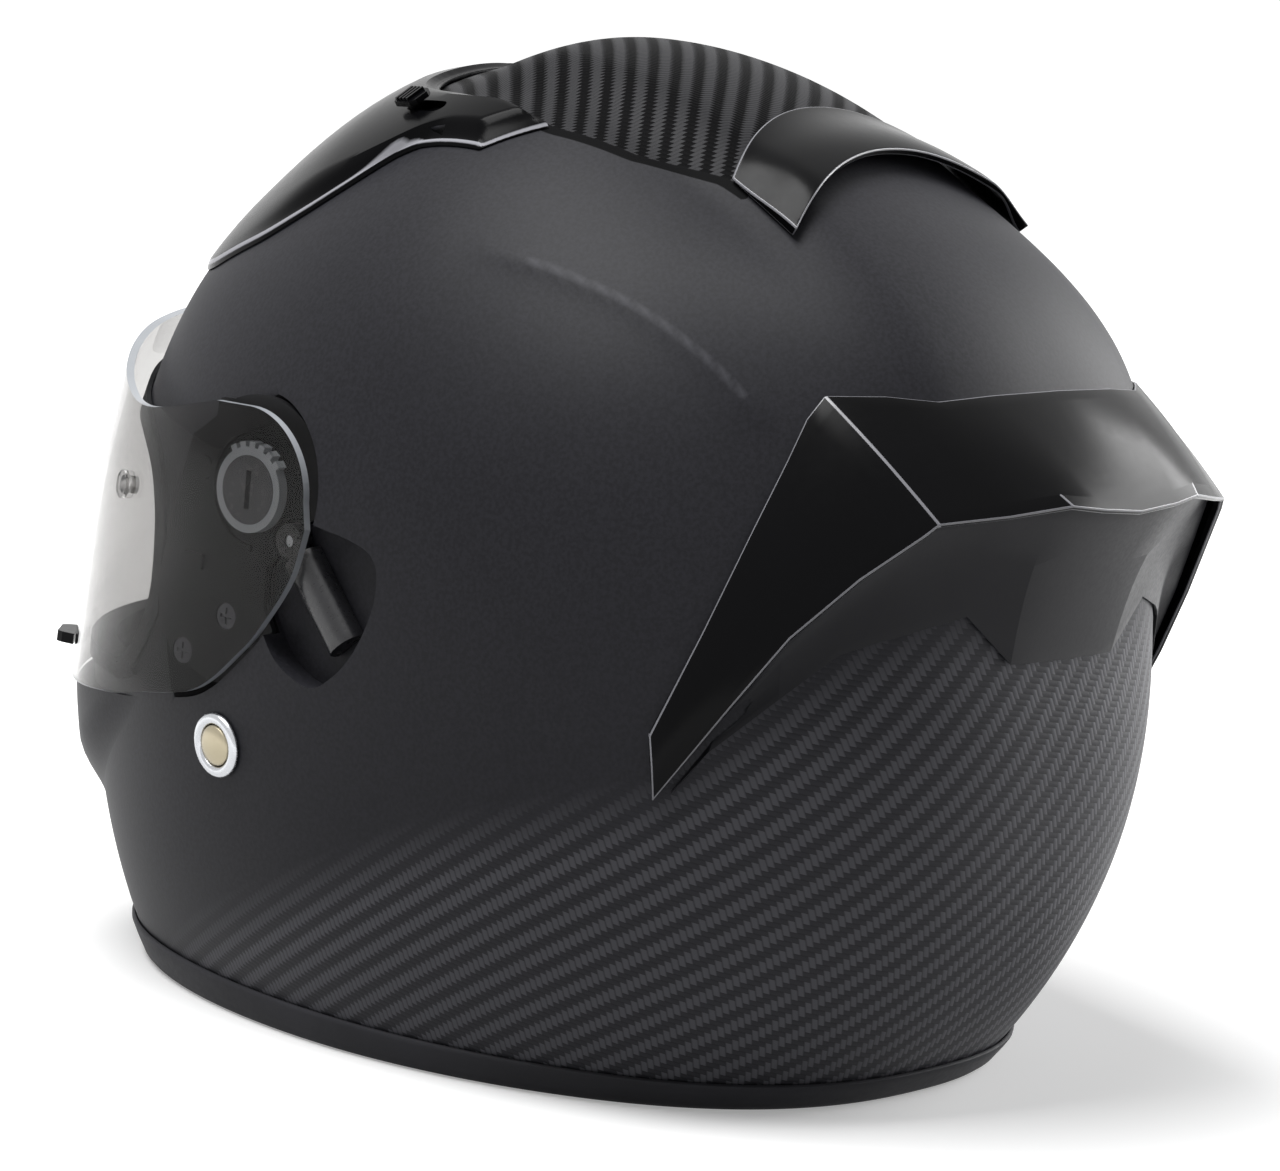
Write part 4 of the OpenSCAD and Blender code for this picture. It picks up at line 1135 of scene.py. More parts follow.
class Look(Enum):
    """The finishes of the helmet's pieces."""

    # Matte two-pack lacquer on a laminated shell, sprayed and rubbed: flat sheen, very fine grit
    SHELL = PaintedCarbon(
        "matte_lacquer_over_carbon_twill", "#232327", "#202024", 0.5, "shell_matte", specular=0.13
    )
    # ABS moulded in a polished tool: deep black, sharp reflections
    GLOSS = Finish("gloss_black_abs", "#060607", "#08080a", 0.2, "plastic_gloss",
                   specular=0.065, grain_mm=1.2, bump=0.02, rough_swing=0.03)
    # The same ABS, with a painted highlight: a pale line along its rim's small radius
    VENT = RimmedGloss("gloss_black_abs_painted_rim_highlight", "#060607", "#08080a", 0.2, "plastic_gloss",
                       specular=0.05, grain_mm=1.2, bump=0.02, rough_swing=0.03)
    # Small radii of the same moulding, painted pale: painted highlights as thin pale lines
    EDGE = Finish("painted_edge_highlight", "#6c6c71", "#7c7c82", 0.3, "plastic_gloss",
                  grain_mm=1.2, bump=0.02, rough_swing=0.03)
    # Bare laminate in the recess behind the shield, sealed black; its near-black tone is also painted shade
    # in the gap round the shield
    BLACK_RECESS_AND_SHADE = Finish("black_recess_with_painted_shade", "#040405", "#060607", 0.6, "shell_matte",
                 specular=0.03, grain_mm=0.8, bump=0.05)
    # Nylon of the base plate, as moulded: near black and even
    PLATE = Finish("grey_black_nylon", "#0c0c0d", "#151517", 0.45, "plastic_satin",
                   specular=0.15, grain_mm=0.8)
    # Acetal hub that the shield turns on, polished by use
    HUB = Finish("polished_grey_acetal", "#3c3d41", "#48494e", 0.25, "plastic_satin",
                 grain_mm=0.8, bump=0.05)
    # Nylon of the release lever, fine grained with a soft streak of light
    GRIP = Finish("grained_black_nylon", "#1b1b1d", "#222225", 0.3, "plastic_satin",
                  grain_mm=0.7, bump=0.15)
    # Screw heads, black zinc: dark, with a dull metal shine
    SCREW = Finish("black_zinc_screw", "#4d4e52", "#5a5b60", 0.4, "steel",
                   metallic=1.0, grain_mm=0.6, bump=0.08)
    # ABS from a fine spark-eroded tool: satin
    SATIN = Finish("satin_black_abs", "#202023", "#262629", 0.4, "plastic_satin",
                   specular=0.1, grain_mm=0.6)
    # EPDM profile, extruded: nearly dull
    RUBBER = Finish("extruded_black_rubber", "#101011", "#161618", 0.55, "rubber_black",
                    specular=0.05, grain_mm=0.7, bump=0.12)
    # Paler EPDM of the piping along the bottom
    PIPING = Finish("extruded_grey_black_rubber", "#313134", "#3a3a3e", 0.55, "rubber_black",
                    specular=0.1, grain_mm=0.9, bump=0.15)
    # Injection moulded polycarbonate with a hard coat, thin enough to bend the view but little
    CLEAR = ClearShield("clear_polycarbonate", "#b9b8b7", "#b4b3b2", 0.0, "visor_clear",
                        extra={"IOR": 1.16, "Transmission Weight": 1.0})
    # The trimmed and polished rim of the shield, painted pale: a painted highlight for the light that it
    # pipes
    RIM_HIGHLIGHT = Finish("clear_rim_painted_highlight", "#a9adb2", "#989ca2", 0.22, "visor_clear",
                 grain_mm=1.5, bump=0.05)
    # Zinc-plated steel, pressed: pale and slightly soft in its shine
    STEEL = Finish("plated_pressed_steel", "#b9bcc0", "#a3a6ab", 0.3, "steel",
                   metallic=1.0, grain_mm=0.8, bump=0.08)
    # Turned aluminium, brushed and clear anodised: bright ring
    RING = Finish("brushed_aluminium_ring", "#c9cbce", "#b7b9bd", 0.26, "steel", metallic=1.0, bump=0.06)
    # Aluminium rivet head, anodised to a pale champagne
    CHAMPAGNE = Finish("champagne_anodised_aluminium", "#b3aa96", "#a0977f", 0.34, "rivet_champagne",
                       metallic=1.0, grain_mm=0.4, bump=0.05)
    # Expanded polystyrene, black: dull beads
    FOAM = BeadFoam("black_bead_foam", "#1c1c1e", "#2a2a2d", 0.85, "foam",
                    specular=0.15, grain_mm=3.2, bump=0.4)
    # Brushed knit over foam, thread spacing drawn at 1.4 mm so that it shows
    LINING = Cloth("brushed_knit_lining", "#2c2c30", "#4a4a50", 0.95, "lining_cloth", specular=0.1,
                   grain_mm=1.4, bump=0.5, extra={"Sheen Weight": 0.35, "Sheen Roughness": 0.5})
    # Polyester webbing, ribs 1.6 mm apart
    WEBBING = Cloth("polyester_webbing", "#0c0c0e", "#1d1d20", 0.8, "webbing", specular=0.15,
                    grain_mm=1.6, bump=0.7, extra={"Sheen Weight": 0.15, "Sheen Roughness": 0.5})


MADE: dict[Look, bpy.types.Material] = {}
NODES: dict[str, Piece] = {}


def material_of(look: Look) -> bpy.types.Material:
    """Finds a finish's material, and makes it the first time.

    Args:
        look: The finish.

    Returns:
        Its material.
    """
    if look not in MADE:
        MADE[look] = look.value.material()
    return MADE[look]


def dress(obj: Piece, look: Look, extra: Sequence[Look] = ()) -> None:
    """Gives a piece its finish, and further finishes to its next material slots.

    Args:
        obj: The piece, whose faces keep their slot numbers.
        look: The finish of the first slot.
        extra: The finishes of the next slots.
    """
    wanted = [look, *extra]
    index = np.empty(len(obj.data.polygons), np.int32)
    obj.data.polygons.foreach_get("material_index", index)
    obj.data.materials.clear()
    for one in wanted:
        obj.data.materials.append(material_of(one))
    obj.data.polygons.foreach_set("material_index", np.minimum(index, len(wanted) - 1))


def install(obj: Piece, body: str, look: Look, replaces: str, extra: Sequence[Look] = ()) -> None:
    """Dresses a piece, lets it ride on a body and hides the solid that it stands for.

    Args:
        obj: The piece.
        body: The body that it moves with.
        look: Its finish.
        replaces: The solid that it stands for.
        extra: The finishes of its next material slots.
    """
    dress(obj, look, extra)
    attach(obj, body)
    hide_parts(replaces)
    count = sum(len(p.vertices) - 2 for p in obj.data.polygons)
    log.info("%s: %d triangles, rides on %s", obj.name, count, body)


def redress(look: Look, *names: str) -> None:
    """Gives solids that stay their finish.

    Args:
        look: The finish.
        *names: Names of the solids.
    """
    for name in names:
        obj = NODES[name]
        if not obj.material_slots:
            obj.data.materials.append(material_of(look))
        for slot in obj.material_slots:
            slot.material = material_of(look)
        log.info("%s: solid kept, finish %s", name, look.value.name)


# Sub-assemblies


@dataclass
class ShellGroup:
    """Painted shell with its recesses, the rubber round the eye port and the bottom piping."""

    wall: float = 4.0
    bottom: float = 5.0
    recess_x: float = 118.5
    recess_room: float = 1.5
    boss_r: float = 31.0
    well_x: float = 117.0
    boss_x: float = 114.0
    boss_top: float = 125.0
    pin_room: float = 5.4
    chin_room: float = 1.4
    crease_h: float = 1.1
    crease_reach: float = 5.0
    lip_h: float = 1.6
    lip_w: float = 4.0
    lip_in: float = 1.2
    lip_slot: float = 0.3
    trim_out: float = 1.6
    trim_in: float = 9.0
    trim_centre_y: float = -10.0
    mean_reach: float = 125.0
    trim_rise: float = 0.012

    def crease(self, lon: Points, lat: Points) -> tuple[Points, Points]:
        """Works out the crease on each side of the tail.

        Args:
            lon: Longitudes in degrees.
            lat: Latitudes in degrees.

        Returns:
            The distance from its line in millimetres, at 2.2 mm to the degree, and how much of
            the crease there is at the longitude.
        """
        line = np.interp(lon, [109.7, 127.3, 143.1, 152.6, 164], [49.2, 44.9, 40.3, 37.1, 33.4])
        return (np.abs(lat) - line) * 2.2, window(lon, 104, 14, 161, 8)

    def ridge(self, lon: Points, lat: Points) -> Points:
        """Height of the crease: it falls off exponentially to both sides."""
        d, share = self.crease(lon, lat)
        return self.crease_h * np.exp(-np.abs(d) / self.crease_reach) * share

    def boss(self, side: int) -> Piece:
        """Thickens the wall behind the hinge, the recess and the finger well.

        Args:
            side: 1 on the left, -1 on the right.

        Returns:
            The solid that is joined to the shell: a disc, a block and the well's outline grown
            by 6 mm, held inside the form 1 mm under its surface.
        """
        outlines = [disc((0, 0), self.boss_r), grown(well_outline(6), 6.0), block(-34.5, -60, 10, 26)]
        boss, *rest = (beside(outline, side, self.boss_x, self.boss_top) for outline in outlines)
        limit = beside(block(-34.5, -75, 90, 90), side, 100, 130)
        return carve(boss, join=rest, only=[limit, PLAIN.solid(-1.0, 120)])

    def shell(self) -> Piece:
        """Joins the form with the tail's swell and the one with the chin's, and hollows them.

        Returns:
            The shell, cut at the port, the mouth, the recesses, the wells and the bottom.
        """
        shell = SHELL.solid(0.0, 360, "painted_shell", self.ridge)
        over_shield = through(grown(visor_outline(12), self.chin_room))
        chin = carve(CHIN.solid(-0.06, 360), away=[over_shield])
        carve(shell, join=[chin], away=[PLAIN.solid(-self.wall, 120)])
        for side in SIDES.values():
            carve(shell, join=[self.boss(side)])
        cuts = [
            prism(block(-FAR, -FAR, FAR, FAR), -FAR, self.bottom, upwards),
            through(port_outline(10)),
            ahead(24, 49.5, 56.5, 3),
        ]
        for side in SIDES.values():
            cuts += [
                beside(grown(visor_outline(12), self.recess_room), side, self.recess_x),
                beside(disc((0, 0), 25.5), side, self.recess_x),
                beside(well_outline(8), side, self.well_x),
                beside(disc(LEVER_PIN, self.pin_room), side, self.well_x),
            ]
        carve(shell, away=cuts)
        self.blacken(shell)
        self.weave(shell)
        return shell

    def blacken(self, shell: Piece) -> None:
        """Gives the faces cut into the wall the second finish, near black with painted shade, apart from the
        finger wells'.

        Args:
            shell: The shell after its cuts.
        """
        c = centres(shell)
        depth = (SHELL.level(c, 0.0) - 1) * self.mean_reach
        well = resample(well_outline(8), 160, closed=True) + PIVOT
        in_well = nearest(c[:, 1:], well) < 2.0
        x = np.abs(c[:, 0])
        floor = (np.abs(x - self.recess_x) < 0.08) & (depth < -0.05)
        second_finish(shell, (floor | (depth < -0.3)) & (x > self.well_x + 0.2) & ~in_well)

    def weave(self, shell: Piece) -> None:
        """Stores the tow counts and the edge distances for the paint.

        The twill's ribs lie 5.8 to 6 mm apart, four tows to a rib. One count runs across the ribs
        and one along them, and their sum and difference, doubled, number the tows. Low at the
        back the counts are quadratics of the turn round the helmet and the height, and at the
        crown of the place in plan.

        Args:
            shell: The shell after its cuts.
        """
        p = points_of(shell)
        lon, lat = PLAIN.where(p)
        turn, z = np.arctan2(p[:, 0], p[:, 1] - PLAIN.axis_y), p[:, 2] / 100
        low_q = 13.563 * turn + 13.327 * z + 1.973 * turn * z - 1.675 * z**2 - 0.731 * turn**2
        low_p = -13.4 * turn + 12.6 * z
        x, y = p[:, 0] / 100, (p[:, 1] + 12.2) / 100
        top_q = 11.143 * x - 10.98 * y + 0.349 * x**2 - 3.031 * x * y - 1.568 * y**2
        top_p = 11.0 * y + 11.1 * x
        edge = np.interp(
            lon, [60, 100.5, 112.7, 123.3, 134.8, 140.8, 160], [29.5, 29.1, 26.3, 20.8, 19.2, 17.8, 16.5]
        )
        # The crown's twill starts behind the front vent and ends along the exhaust's front edge
        off_crown = 400 * (lon < 58) + 120 * ease((lon - 118 - 0.02 * lat**2) / 3) + 400 * (lon > 150)
        past_crown = (np.abs(lat) - edge) * 2.25 + off_crown
        low_line = np.interp(p[:, 1], [-90, -50.5, 32.4, 96.9, 130, 170], [-4, 22.2, 63.9, 86.7, 128, 150])
        past_low = (low_line - p[:, 2]) * 0.87
        crown = (np.abs(lat) < edge + 6) & (lon > 50) & (lon < 150)
        q, r = np.where(crown, top_q, low_q), np.where(crown, top_p, low_p)
        along = np.where(crown, 2.6, 1.8) * r
        store(shell, "weave", np.stack([2 * (along + q), 2 * (along - q), crown], -1))
        away, share = self.crease(lon, lat)
        store(shell, "edges", np.stack([past_crown, past_low, np.abs(away) + 40 * (1 - share)], -1))

    def gasket(self) -> Piece:
        """Closes a rubber lip over the port's edge: a band on both faces with a slot for the wall.

        Returns:
            The lip, cut back where the recess and the boss are.
        """
        core = PLAIN.solid(-self.wall - self.lip_slot, 120)
        band, hole, slot_hole = (
            through(grown(port_outline(8), by)) for by in (self.lip_w, -self.lip_in, -self.lip_slot)
        )
        slot = carve(PLAIN.solid(self.lip_slot, 240), away=[core, slot_hole])
        inner = PLAIN.solid(-self.wall - self.lip_h, 120)
        lip = PLAIN.solid(self.lip_h, 240, "port_gasket")
        carve(lip, only=[band], away=[inner, hole, slot])
        cuts = []
        for side in SIDES.values():
            cuts += [
                beside(grown(visor_outline(8), 1.8), side, 118.2),
                beside(disc((0, 0), 34.5), side, 108, 124.5),
                beside(block(-34.8, -75, 85, 85), side, 108, 124.5),
            ]
        return carve(lip, away=cuts)

    def piping(self) -> Piece:
        """Presses a rubber channel on the shell's bottom edge.

        Its profile's points lie at a stand-off from the form and a height, and the lip over the
        outer face rises a little towards the front.

        Returns:
            The piping.
        """
        turn = np.radians(np.arange(480) * 360 / 480)
        t_in, t_out = -self.trim_in, self.trim_out
        profile = np.array([
            [t_in, 1.4], [t_in + 0.4, 0.5], [t_in + 1.4, 0.0], [-4, 0.0], [t_out - 1.5, 0.0],
            [t_out - 0.5, 0.4], [t_out, 1.5], [t_out, 4], [t_out + 0.05, 6], [t_out, 8.2],
            [t_out - 0.3, 9.0], [t_out - 0.9, 9.45], [0.35, 9.5], [0.3, 8.8], [0.3, 4.7], [-2, 4.7],
            [-4.3, 4.7], [-4.3, 8.8], [-4.35, 9.5], [-5.5, 9.5], [t_in + 1.5, 9.4],
            [t_in + 0.5, 8.8], [t_in, 7.8], [t_in, 4.0],
        ])
        off, z = profile[None, :, 0], profile[None, :, 1]
        aim = np.stack([np.cos(turn), np.sin(turn), np.zeros_like(turn)], -1)[:, None]
        start = np.broadcast_to([0.0, self.trim_centre_y, 6.0], (len(turn), 1, 3))
        edge = PLAIN.cast(start, aim, np.zeros((len(turn), 1)))
        height = z - self.trim_rise * edge[..., 1] * ease((z - 4.9) / 3)
        origin = np.stack([np.zeros_like(height), np.full_like(height, self.trim_centre_y), height], -1)
        rows = PLAIN.cast(origin, np.broadcast_to(aim, origin.shape), np.broadcast_to(off, height.shape))
        faces = grid_faces(len(turn), len(profile), wrap_rows=True, wrap_cols=True)
        return outwards(put_mesh("bottom_piping", rows.reshape(-1, 3), faces, 50))

    def build(self) -> None:
        """Builds and dresses the group."""
        install(self.shell(), "helmet", Look.SHELL, "outer_shell", [Look.BLACK_RECESS_AND_SHADE])
        install(self.gasket(), "helmet", Look.RUBBER, "eyeport_gasket")
        install(self.piping(), "helmet", Look.PIPING, "bottom_trim")


@dataclass
class ShieldGroup:
    """Clear shield with its polished rim, and the mechanism that it turns and locks on."""

    wall: float = 2.2
    lever_turn: float = -49.0
    lever_reach: tuple = (5.0, 32.0)
    lever_half_w: float = 5.4
    lever_x: float = 118.2
    lever_h: float = 5.2
    lever_power: float = 2.4
    lever_skirt: float = 0.6
    eye_r: float = 4.6
    hole_r: float = 1.56

    def shield(self) -> Piece:
        """Cuts a layer of the shield's form to its side outline; the rim gets the second finish, a pale
        painted highlight.

        Returns:
            The shield.
        """
        shield = VISOR.solid(self.wall, 320, "clear_shield")
        carve(shield, only=[through(visor_outline(14))], away=[VISOR.solid(0.0, 320)])
        c = centres(shield)
        second_finish(shield, (VISOR.level(c, 0.0) > 1.0006) & (VISOR.level(c, self.wall) < 0.9994))
        return shield

    def lever(self, name: str, side: int) -> Piece:
        """Makes a half-round barrel with a square end, joined with the eye round the lever's pin.

        The barrel's height over its flat foot is a superellipse of the place across it.

        Args:
            name: Name of the piece.
            side: 1 on the left, -1 on the right.

        Returns:
            The lever.
        """
        turn = math.radians(self.lever_turn)
        along = np.array([math.cos(turn), math.sin(turn)])
        across = np.array([-math.sin(turn), math.cos(turn)])
        s = np.linspace(*self.lever_reach, 13)[:, None, None]
        t = np.sin(np.linspace(-math.pi / 2, math.pi / 2, 25))
        plan = PIVOT + LEVER_PIN + s * along + self.lever_half_w * t[None, :, None] * across
        arch = (1 - np.abs(t) ** self.lever_power) ** (1 / self.lever_power)
        top, foot = (
            np.concatenate([np.broadcast_to(side * x, plan.shape[:2])[..., None], plan], -1)
            for x in (self.lever_x + self.lever_h * arch, self.lever_x - self.lever_skirt)
        )
        eye = beside(disc(LEVER_PIN, self.eye_r), side, 117.5, 121.4)
        hole = beside(disc(LEVER_PIN, self.hole_r), side, 110, 130)
        grip = carve(slab_mesh(name, top, foot), join=[eye], away=[hole])
        return keep_modifiers(rounded(grip, 0.35, 50))

    def build(self) -> None:
        """Builds the shield and the levers, and dresses the solids that stay."""
        install(self.shield(), "visor", Look.CLEAR, "visor_shield", [Look.RIM_HIGHLIGHT])
        for name, side in SIDES.items():
            # The ring round the hub takes the same pale finish: a painted highlight
            redress(Look.RIM_HIGHLIGHT, f"visor_ring_{name}")
            redress(Look.CLEAR, f"visor_pin_{name}")
            redress(Look.HUB, f"pivot_hub_{name}")
            redress(Look.PLATE, f"base_plate_{name}")
            redress(Look.SCREW, f"plate_screw_{name}_upper", f"plate_screw_{name}_lower")
            redress(Look.STEEL, f"lever_pin_{name}")
            lever = self.lever(f"lever_grip_{name}", side)
            install(lever, f"lever_{name}", Look.GRIP, f"release_lever_{name}")
        redress(Look.GLOSS, "visor_tab")


@dataclass
class VentGroup:
    """Front vent cover, rear exhaust cover and chin vent."""

    height: float = 4.6
    flange: float = 1.5
    rim_h: float = 0.5
    seat_gap: float = 0.45
    pocket: tuple = (14.5, 8.0, 3.2)
    pocket_skin: float = 3.45
    slot_r: float = 2.5
    slot_half: float = 5.3
    hood_half: float = 21.0

    def edges(self, n: int) -> tuple[Points, Points]:
        """Draws the front cover's edges in plan, from right to left.

        Args:
            n: Number of points from the middle to the horn's end.

        Returns:
            The outer and the inner edge.
        """
        outer = [[0, -122], [26, -120], [46, -113], [64, -101], [79, -84], [87.5, -62], [88.5, -45],
                 [85, -30.7], [78.7, -19.7]]
        tip = [[76.6, -14.8], [76.2, -8], [76.3, 6]]
        inner = [[0, -49], [28, -46], [44, -38], [53, -26], [58.5, -10], [61.5, 7.5], [63.4, 18.3]]
        halves = np.concatenate([smooth_line(outer, 6), smooth_line(tip, 3)]), smooth_line(inner, 6)
        lines = (resample(half, n) for half in halves)
        return tuple(np.concatenate([line[:0:-1] * [-1, 1], line]) for line in lines)

    def cover(self) -> Piece:
        """Rules a plan between the two edges and lays it over the shell.

        Its height rises from the rim to the flange within 0.8 mm, as a quarter of a circle, and
        eases from 1 to 6 mm of the edge up to the raised top, which sinks towards the nose.

        Returns:
            The cover, with a slot and a pocket under it for each slider.
        """
        outer, inner = self.edges(120)
        width = np.linalg.norm(inner - outer, axis=1)[:, None]
        near = np.array([0, 0.12, 0.35, 0.75, 1.3, 1.9, 2.3, 2.7, 3.1, 3.5, 4.2])
        start, rest = near[None] / width, 1 - 2 * near[-1] / width
        t = np.concatenate([start, near[-1] / width + rest * (np.arange(1, 14) / 14), 1 - start[:, ::-1]], 1)
        plan = outer[:, None] + t[..., None] * (inner - outer)[:, None]
        middle = (outer + inner) / 2
        run = np.concatenate([[0], np.cumsum(np.linalg.norm(np.diff(middle, axis=0), axis=1))])
        ends = np.minimum(run, run[-1] - run)[:, None]
        d = np.minimum(np.minimum(t, 1 - t) * width, ends)
        foot = upwards(plan.reshape(-1, 2), 140.0)
        up = np.broadcast_to(UP, foot.shape)
        foot = PLAIN.cast(foot, up, np.full(len(foot), self.seat_gap))
        nose = ease((66 - PLAIN.where(foot)[0]) / 24).reshape(d.shape)
        flank = np.clip(d / 0.8, 0, 1)
        rise = self.rim_h + (self.flange - self.rim_h) * np.sqrt(flank * (2 - flank))
        rise = rise + (self.height - self.flange) * (1 - nose) * ease((d - 1.0) / 5.0)
        top = PLAIN.cast(foot - UP, up, rise.ravel())
        top, foot = (grid.reshape(*d.shape, 3) for grid in (top, foot))
        cover = slab_mesh("front_vent_cover_moulding", top, foot, 24)
        carve(cover, away=self.slider_rooms(), sharp=24)
        # Distances from the edge, which place the painted highlight along the rim
        outline = resample(np.concatenate([inner[:1], outer, inner[-1:]]), 4000)
        rim = nearest(points_of(cover)[:, :2] - [0, PLAIN.axis_y], outline)
        store(cover, "rim", np.stack([rim, rim, rim], -1))
        return cover

    def slider_rooms(self) -> list[Piece]:
        """Makes each slider's slot, and the pocket for its plate, which follows the shell.

        Returns:
            The cutters.
        """
        cuts = []
        half_l, half_w, high = self.pocket
        end = [self.slot_half, 0]
        slot = np.concatenate([arc(self.slot_r, -90, 90, 12) + end, arc(self.slot_r, 90, 270, 12) - end])
        for side in SIDES.values():
            seat = SLIDER.on_side(side)
            pocket = prism(block(-half_l, -half_w, half_l, half_w), -20, high, seat.along)
            carve(pocket, only=[PLAIN.solid(self.pocket_skin, 240)])
            cuts += [prism(slot, -5, 20, seat.along), pocket]
        return cuts

    def exhaust(self) -> Piece:
        """Raises a hood over the rear outlet: it lifts to its open rear edge, its ends drawn down.

        Returns:
            The hood, its rounded edges painted pale as painted highlights.
        """
        half = self.hood_half
        t, b = np.meshgrid(np.linspace(0, 1, 25), np.linspace(-half, half, 57), indexing="ij")
        lon = 115.5 + 8.8 * (b / 21.6) ** 2 + 11.3 * t
        end = half - np.abs(b)
        top = 1.6 + 4.4 * ease(t) * (0.55 + 0.45 * ease(end / 7))
        under = 0.7 + 3.2 * ease(1.4 * t - 0.2) * ease(end / 5)
        hood = slab_mesh("rear_exhaust_hood", SHELL.point(top, lon, b), SHELL.point(under, lon, b))
        dress(hood, Look.GLOSS, [Look.EDGE])
        return keep_modifiers(rounded(hood, 0.5, 40, slot=1))

    def chin_frame(self) -> Piece:
        """Frames the chin's mouth, 4.6 mm over the shell, with the track that the shutter slides in.

        Returns:
            The frame.
        """
        track = carve(CHIN.solid(3.2, 300), only=[ahead(28.5, 46.32, 66.12, 1)])
        return carve(
            CHIN.solid(4.6, 300, "chin_vent_moulding"),
            only=[ahead(34, 43.52, 67.52, 6, 8)],
            away=[CHIN.solid(0.4, 300), ahead(26, 48.52, 57.52, 2), track],
        )

    def shutter(self) -> Piece:
        """Makes the sliding plate behind the mouth, with its finger rib.

        Returns:
            The shutter.
        """
        rib = carve(
            CHIN.solid(6.4, 300), only=[ahead(7, 48.92, 51.22, 0.6)], away=[CHIN.solid(1.8, 300)]
        )
        plate = carve(
            CHIN.solid(2.4, 300, "chin_vent_slide"),
            only=[ahead(27.4, 47.32, 59.02, 1)],
            away=[CHIN.solid(1.2, 300)],
        )
        return carve(plate, join=[rib])

    def build(self) -> None:
        """Builds and dresses the group."""
        install(self.cover(), "helmet", Look.VENT, "front_vent_cover")
        install(self.exhaust(), "helmet", Look.GLOSS, "rear_exhaust_cover", [Look.EDGE])
        install(self.chin_frame(), "helmet", Look.GLOSS, "chin_vent_frame")
        install(self.shutter(), "chin_shutter", Look.GLOSS, "chin_vent_shutter")
        redress(Look.GLOSS, "vent_slider_left", "vent_slider_right")


@dataclass
class SpoilerGroup:
    """Faceted wing over the back of the shell, and the diffuser under its tail."""

    wall: float = 2.8
    tail: float = 29.5
    gap: float = 0.4
    wing_bow: float = 1.2
    wing_taper: float = 0.45
    diffuser_bow: float = 2.4

    def stations(self) -> tuple[Points, Points, Points]:
        """Sets out the wing's ribs; each row holds three stand-offs, longitudes and latitudes.

        Returns:
            Roots on the shell, free edges and feet, from the right tip to the left one.
        """
        s = self.tail
        rows = np.array([
            [1, 158.2, 0, s - 0.5, 170.1, 0, 1.2, 184.3, 0],
            [1, 158.2, 9, s, 169.7, 4.4, 1.2, 184.3, 4.4],
            [1, 158.2, 16.4, s - 0.2, 169.2, 8.2, 1.2, 184.3, 7.7],
            [1, 156.8, 22, s - 3, 169.7, 15, 1.2, 179.4, 14.7],
            [1.5, 155.4, 28.4, s - 5.9, 170, 22.5, 1.2, 181.3, 23],
            [1.5, 157.5, 31.1, s - 7.5, 171, 24, 1.2, 182.4, 27],
            [1.5, 162, 34.6, s - 13.5, 175, 30.4, 1.2, 183.6, 30.7],
            [2, 169.1, 39.7, s - 18.5, 181.5, 37.8, 1.4, 189.1, 37.9],
            [2.4, 182.3, 46.7, s - 23, 190.6, 43.9, 1.6, 197, 45.5],
            [3, 197.1, 52.1, 3.6, 204.7, 50.4, 2, 206, 49.9],
        ])
        sets = (form.point(*rows[:, k : k + 3].T) for form, k in ((SHELL, 0), (PLAIN, 3), (SHELL, 6)))
        return tuple(np.concatenate([p[:0:-1] * [-1, 1, 1], p]) for p in sets)

    def outward(self, p: Points, q: Points) -> Points:
        """Outward directions of the strip between two rows of points."""
        along = np.concatenate([p[1:], p[-1:]]) - np.concatenate([p[:1], p[:-1]])
        return unit(np.cross(along, q - p))

    def strip(self, name: str, p: Points, q: Points, wall: float, taper: float) -> Piece:
        """Spans a slab between two rows, bowed by a sine of the share from one to the other.

        Args:
            name: Name of the piece.
            p: The first row.
            q: The second row.
            wall: Thickness at the first row in millimetres.
            taper: Share of the thickness that is lost at the second row.

        Returns:
            The slab.
        """
        n = self.outward(p, q)[None]
        t = np.linspace(0, 1, 11)[:, None, None]
        flat = p[None] + t * (q - p)[None]
        face = flat + self.wing_bow * np.sin(np.pi * t) * n
        return slab_mesh(name, face, flat - wall * (1 - taper * t) * n, 8)

    def wing(self, roots: Points, edges: Points) -> Piece:
        """Makes the wing, its rounded ribs and edge painted pale as painted highlights.

        Args:
            roots: Row of points on the shell.
            edges: Row of points along the free edge.

        Returns:
            The wing.
        """
        wing = self.strip("spoiler_wing_moulding", roots, edges, self.wall, self.wing_taper)
        dress(rounded(wing, 0.4, 16, slot=1), Look.GLOSS, [Look.EDGE])
        return carve(wing, away=[SHELL.solid(self.gap, 240)], sharp=18)

    def diffuser(self, roots: Points, edges: Points, feet: Points) -> Piece:
        """Makes the hollow piece from under the wing's edge down to the shell.

        Args:
            roots: Row of the wing's roots.
            edges: Row of the wing's free edge.
            feet: Row of points low on the shell.

        Returns:
            The diffuser.
        """
        n = self.outward(roots, edges)
        lips = edges + 0.07 * (roots - edges) - (self.wall + self.gap) * n
        for row in (lips, feet):
            row[0], row[-1] = row[1] + 0.7 * (row[0] - row[1]), row[-2] + 0.7 * (row[-1] - row[-2])
        m = self.outward(lips, feet)[None]
        t = np.linspace(0, 1, 11)[:, None, None]
        line = lips[None] + t * (feet - lips)[None]
        bow = self.diffuser_bow * np.sin(np.pi * t)
        name = "spoiler_diffuser_moulding"
        diffuser = rounded(slab_mesh(name, line - bow * m, line - (bow + self.wall) * m, 8), 0.5, 11)
        wing_room = self.strip("cutter", roots + 0.3 * n, edges + 0.3 * n, self.wall + 0.6, 0.3)
        return carve(diffuser, away=[wing_room, SHELL.solid(self.gap, 240)], sharp=18)

    def build(self) -> None:
        """Builds and dresses both pieces."""
        roots, edges, feet = self.stations()
        install(self.wing(roots, edges), "helmet", Look.GLOSS, "spoiler_wing", [Look.EDGE])
        install(self.diffuser(roots, edges, feet), "helmet", Look.SATIN, "spoiler_diffuser")


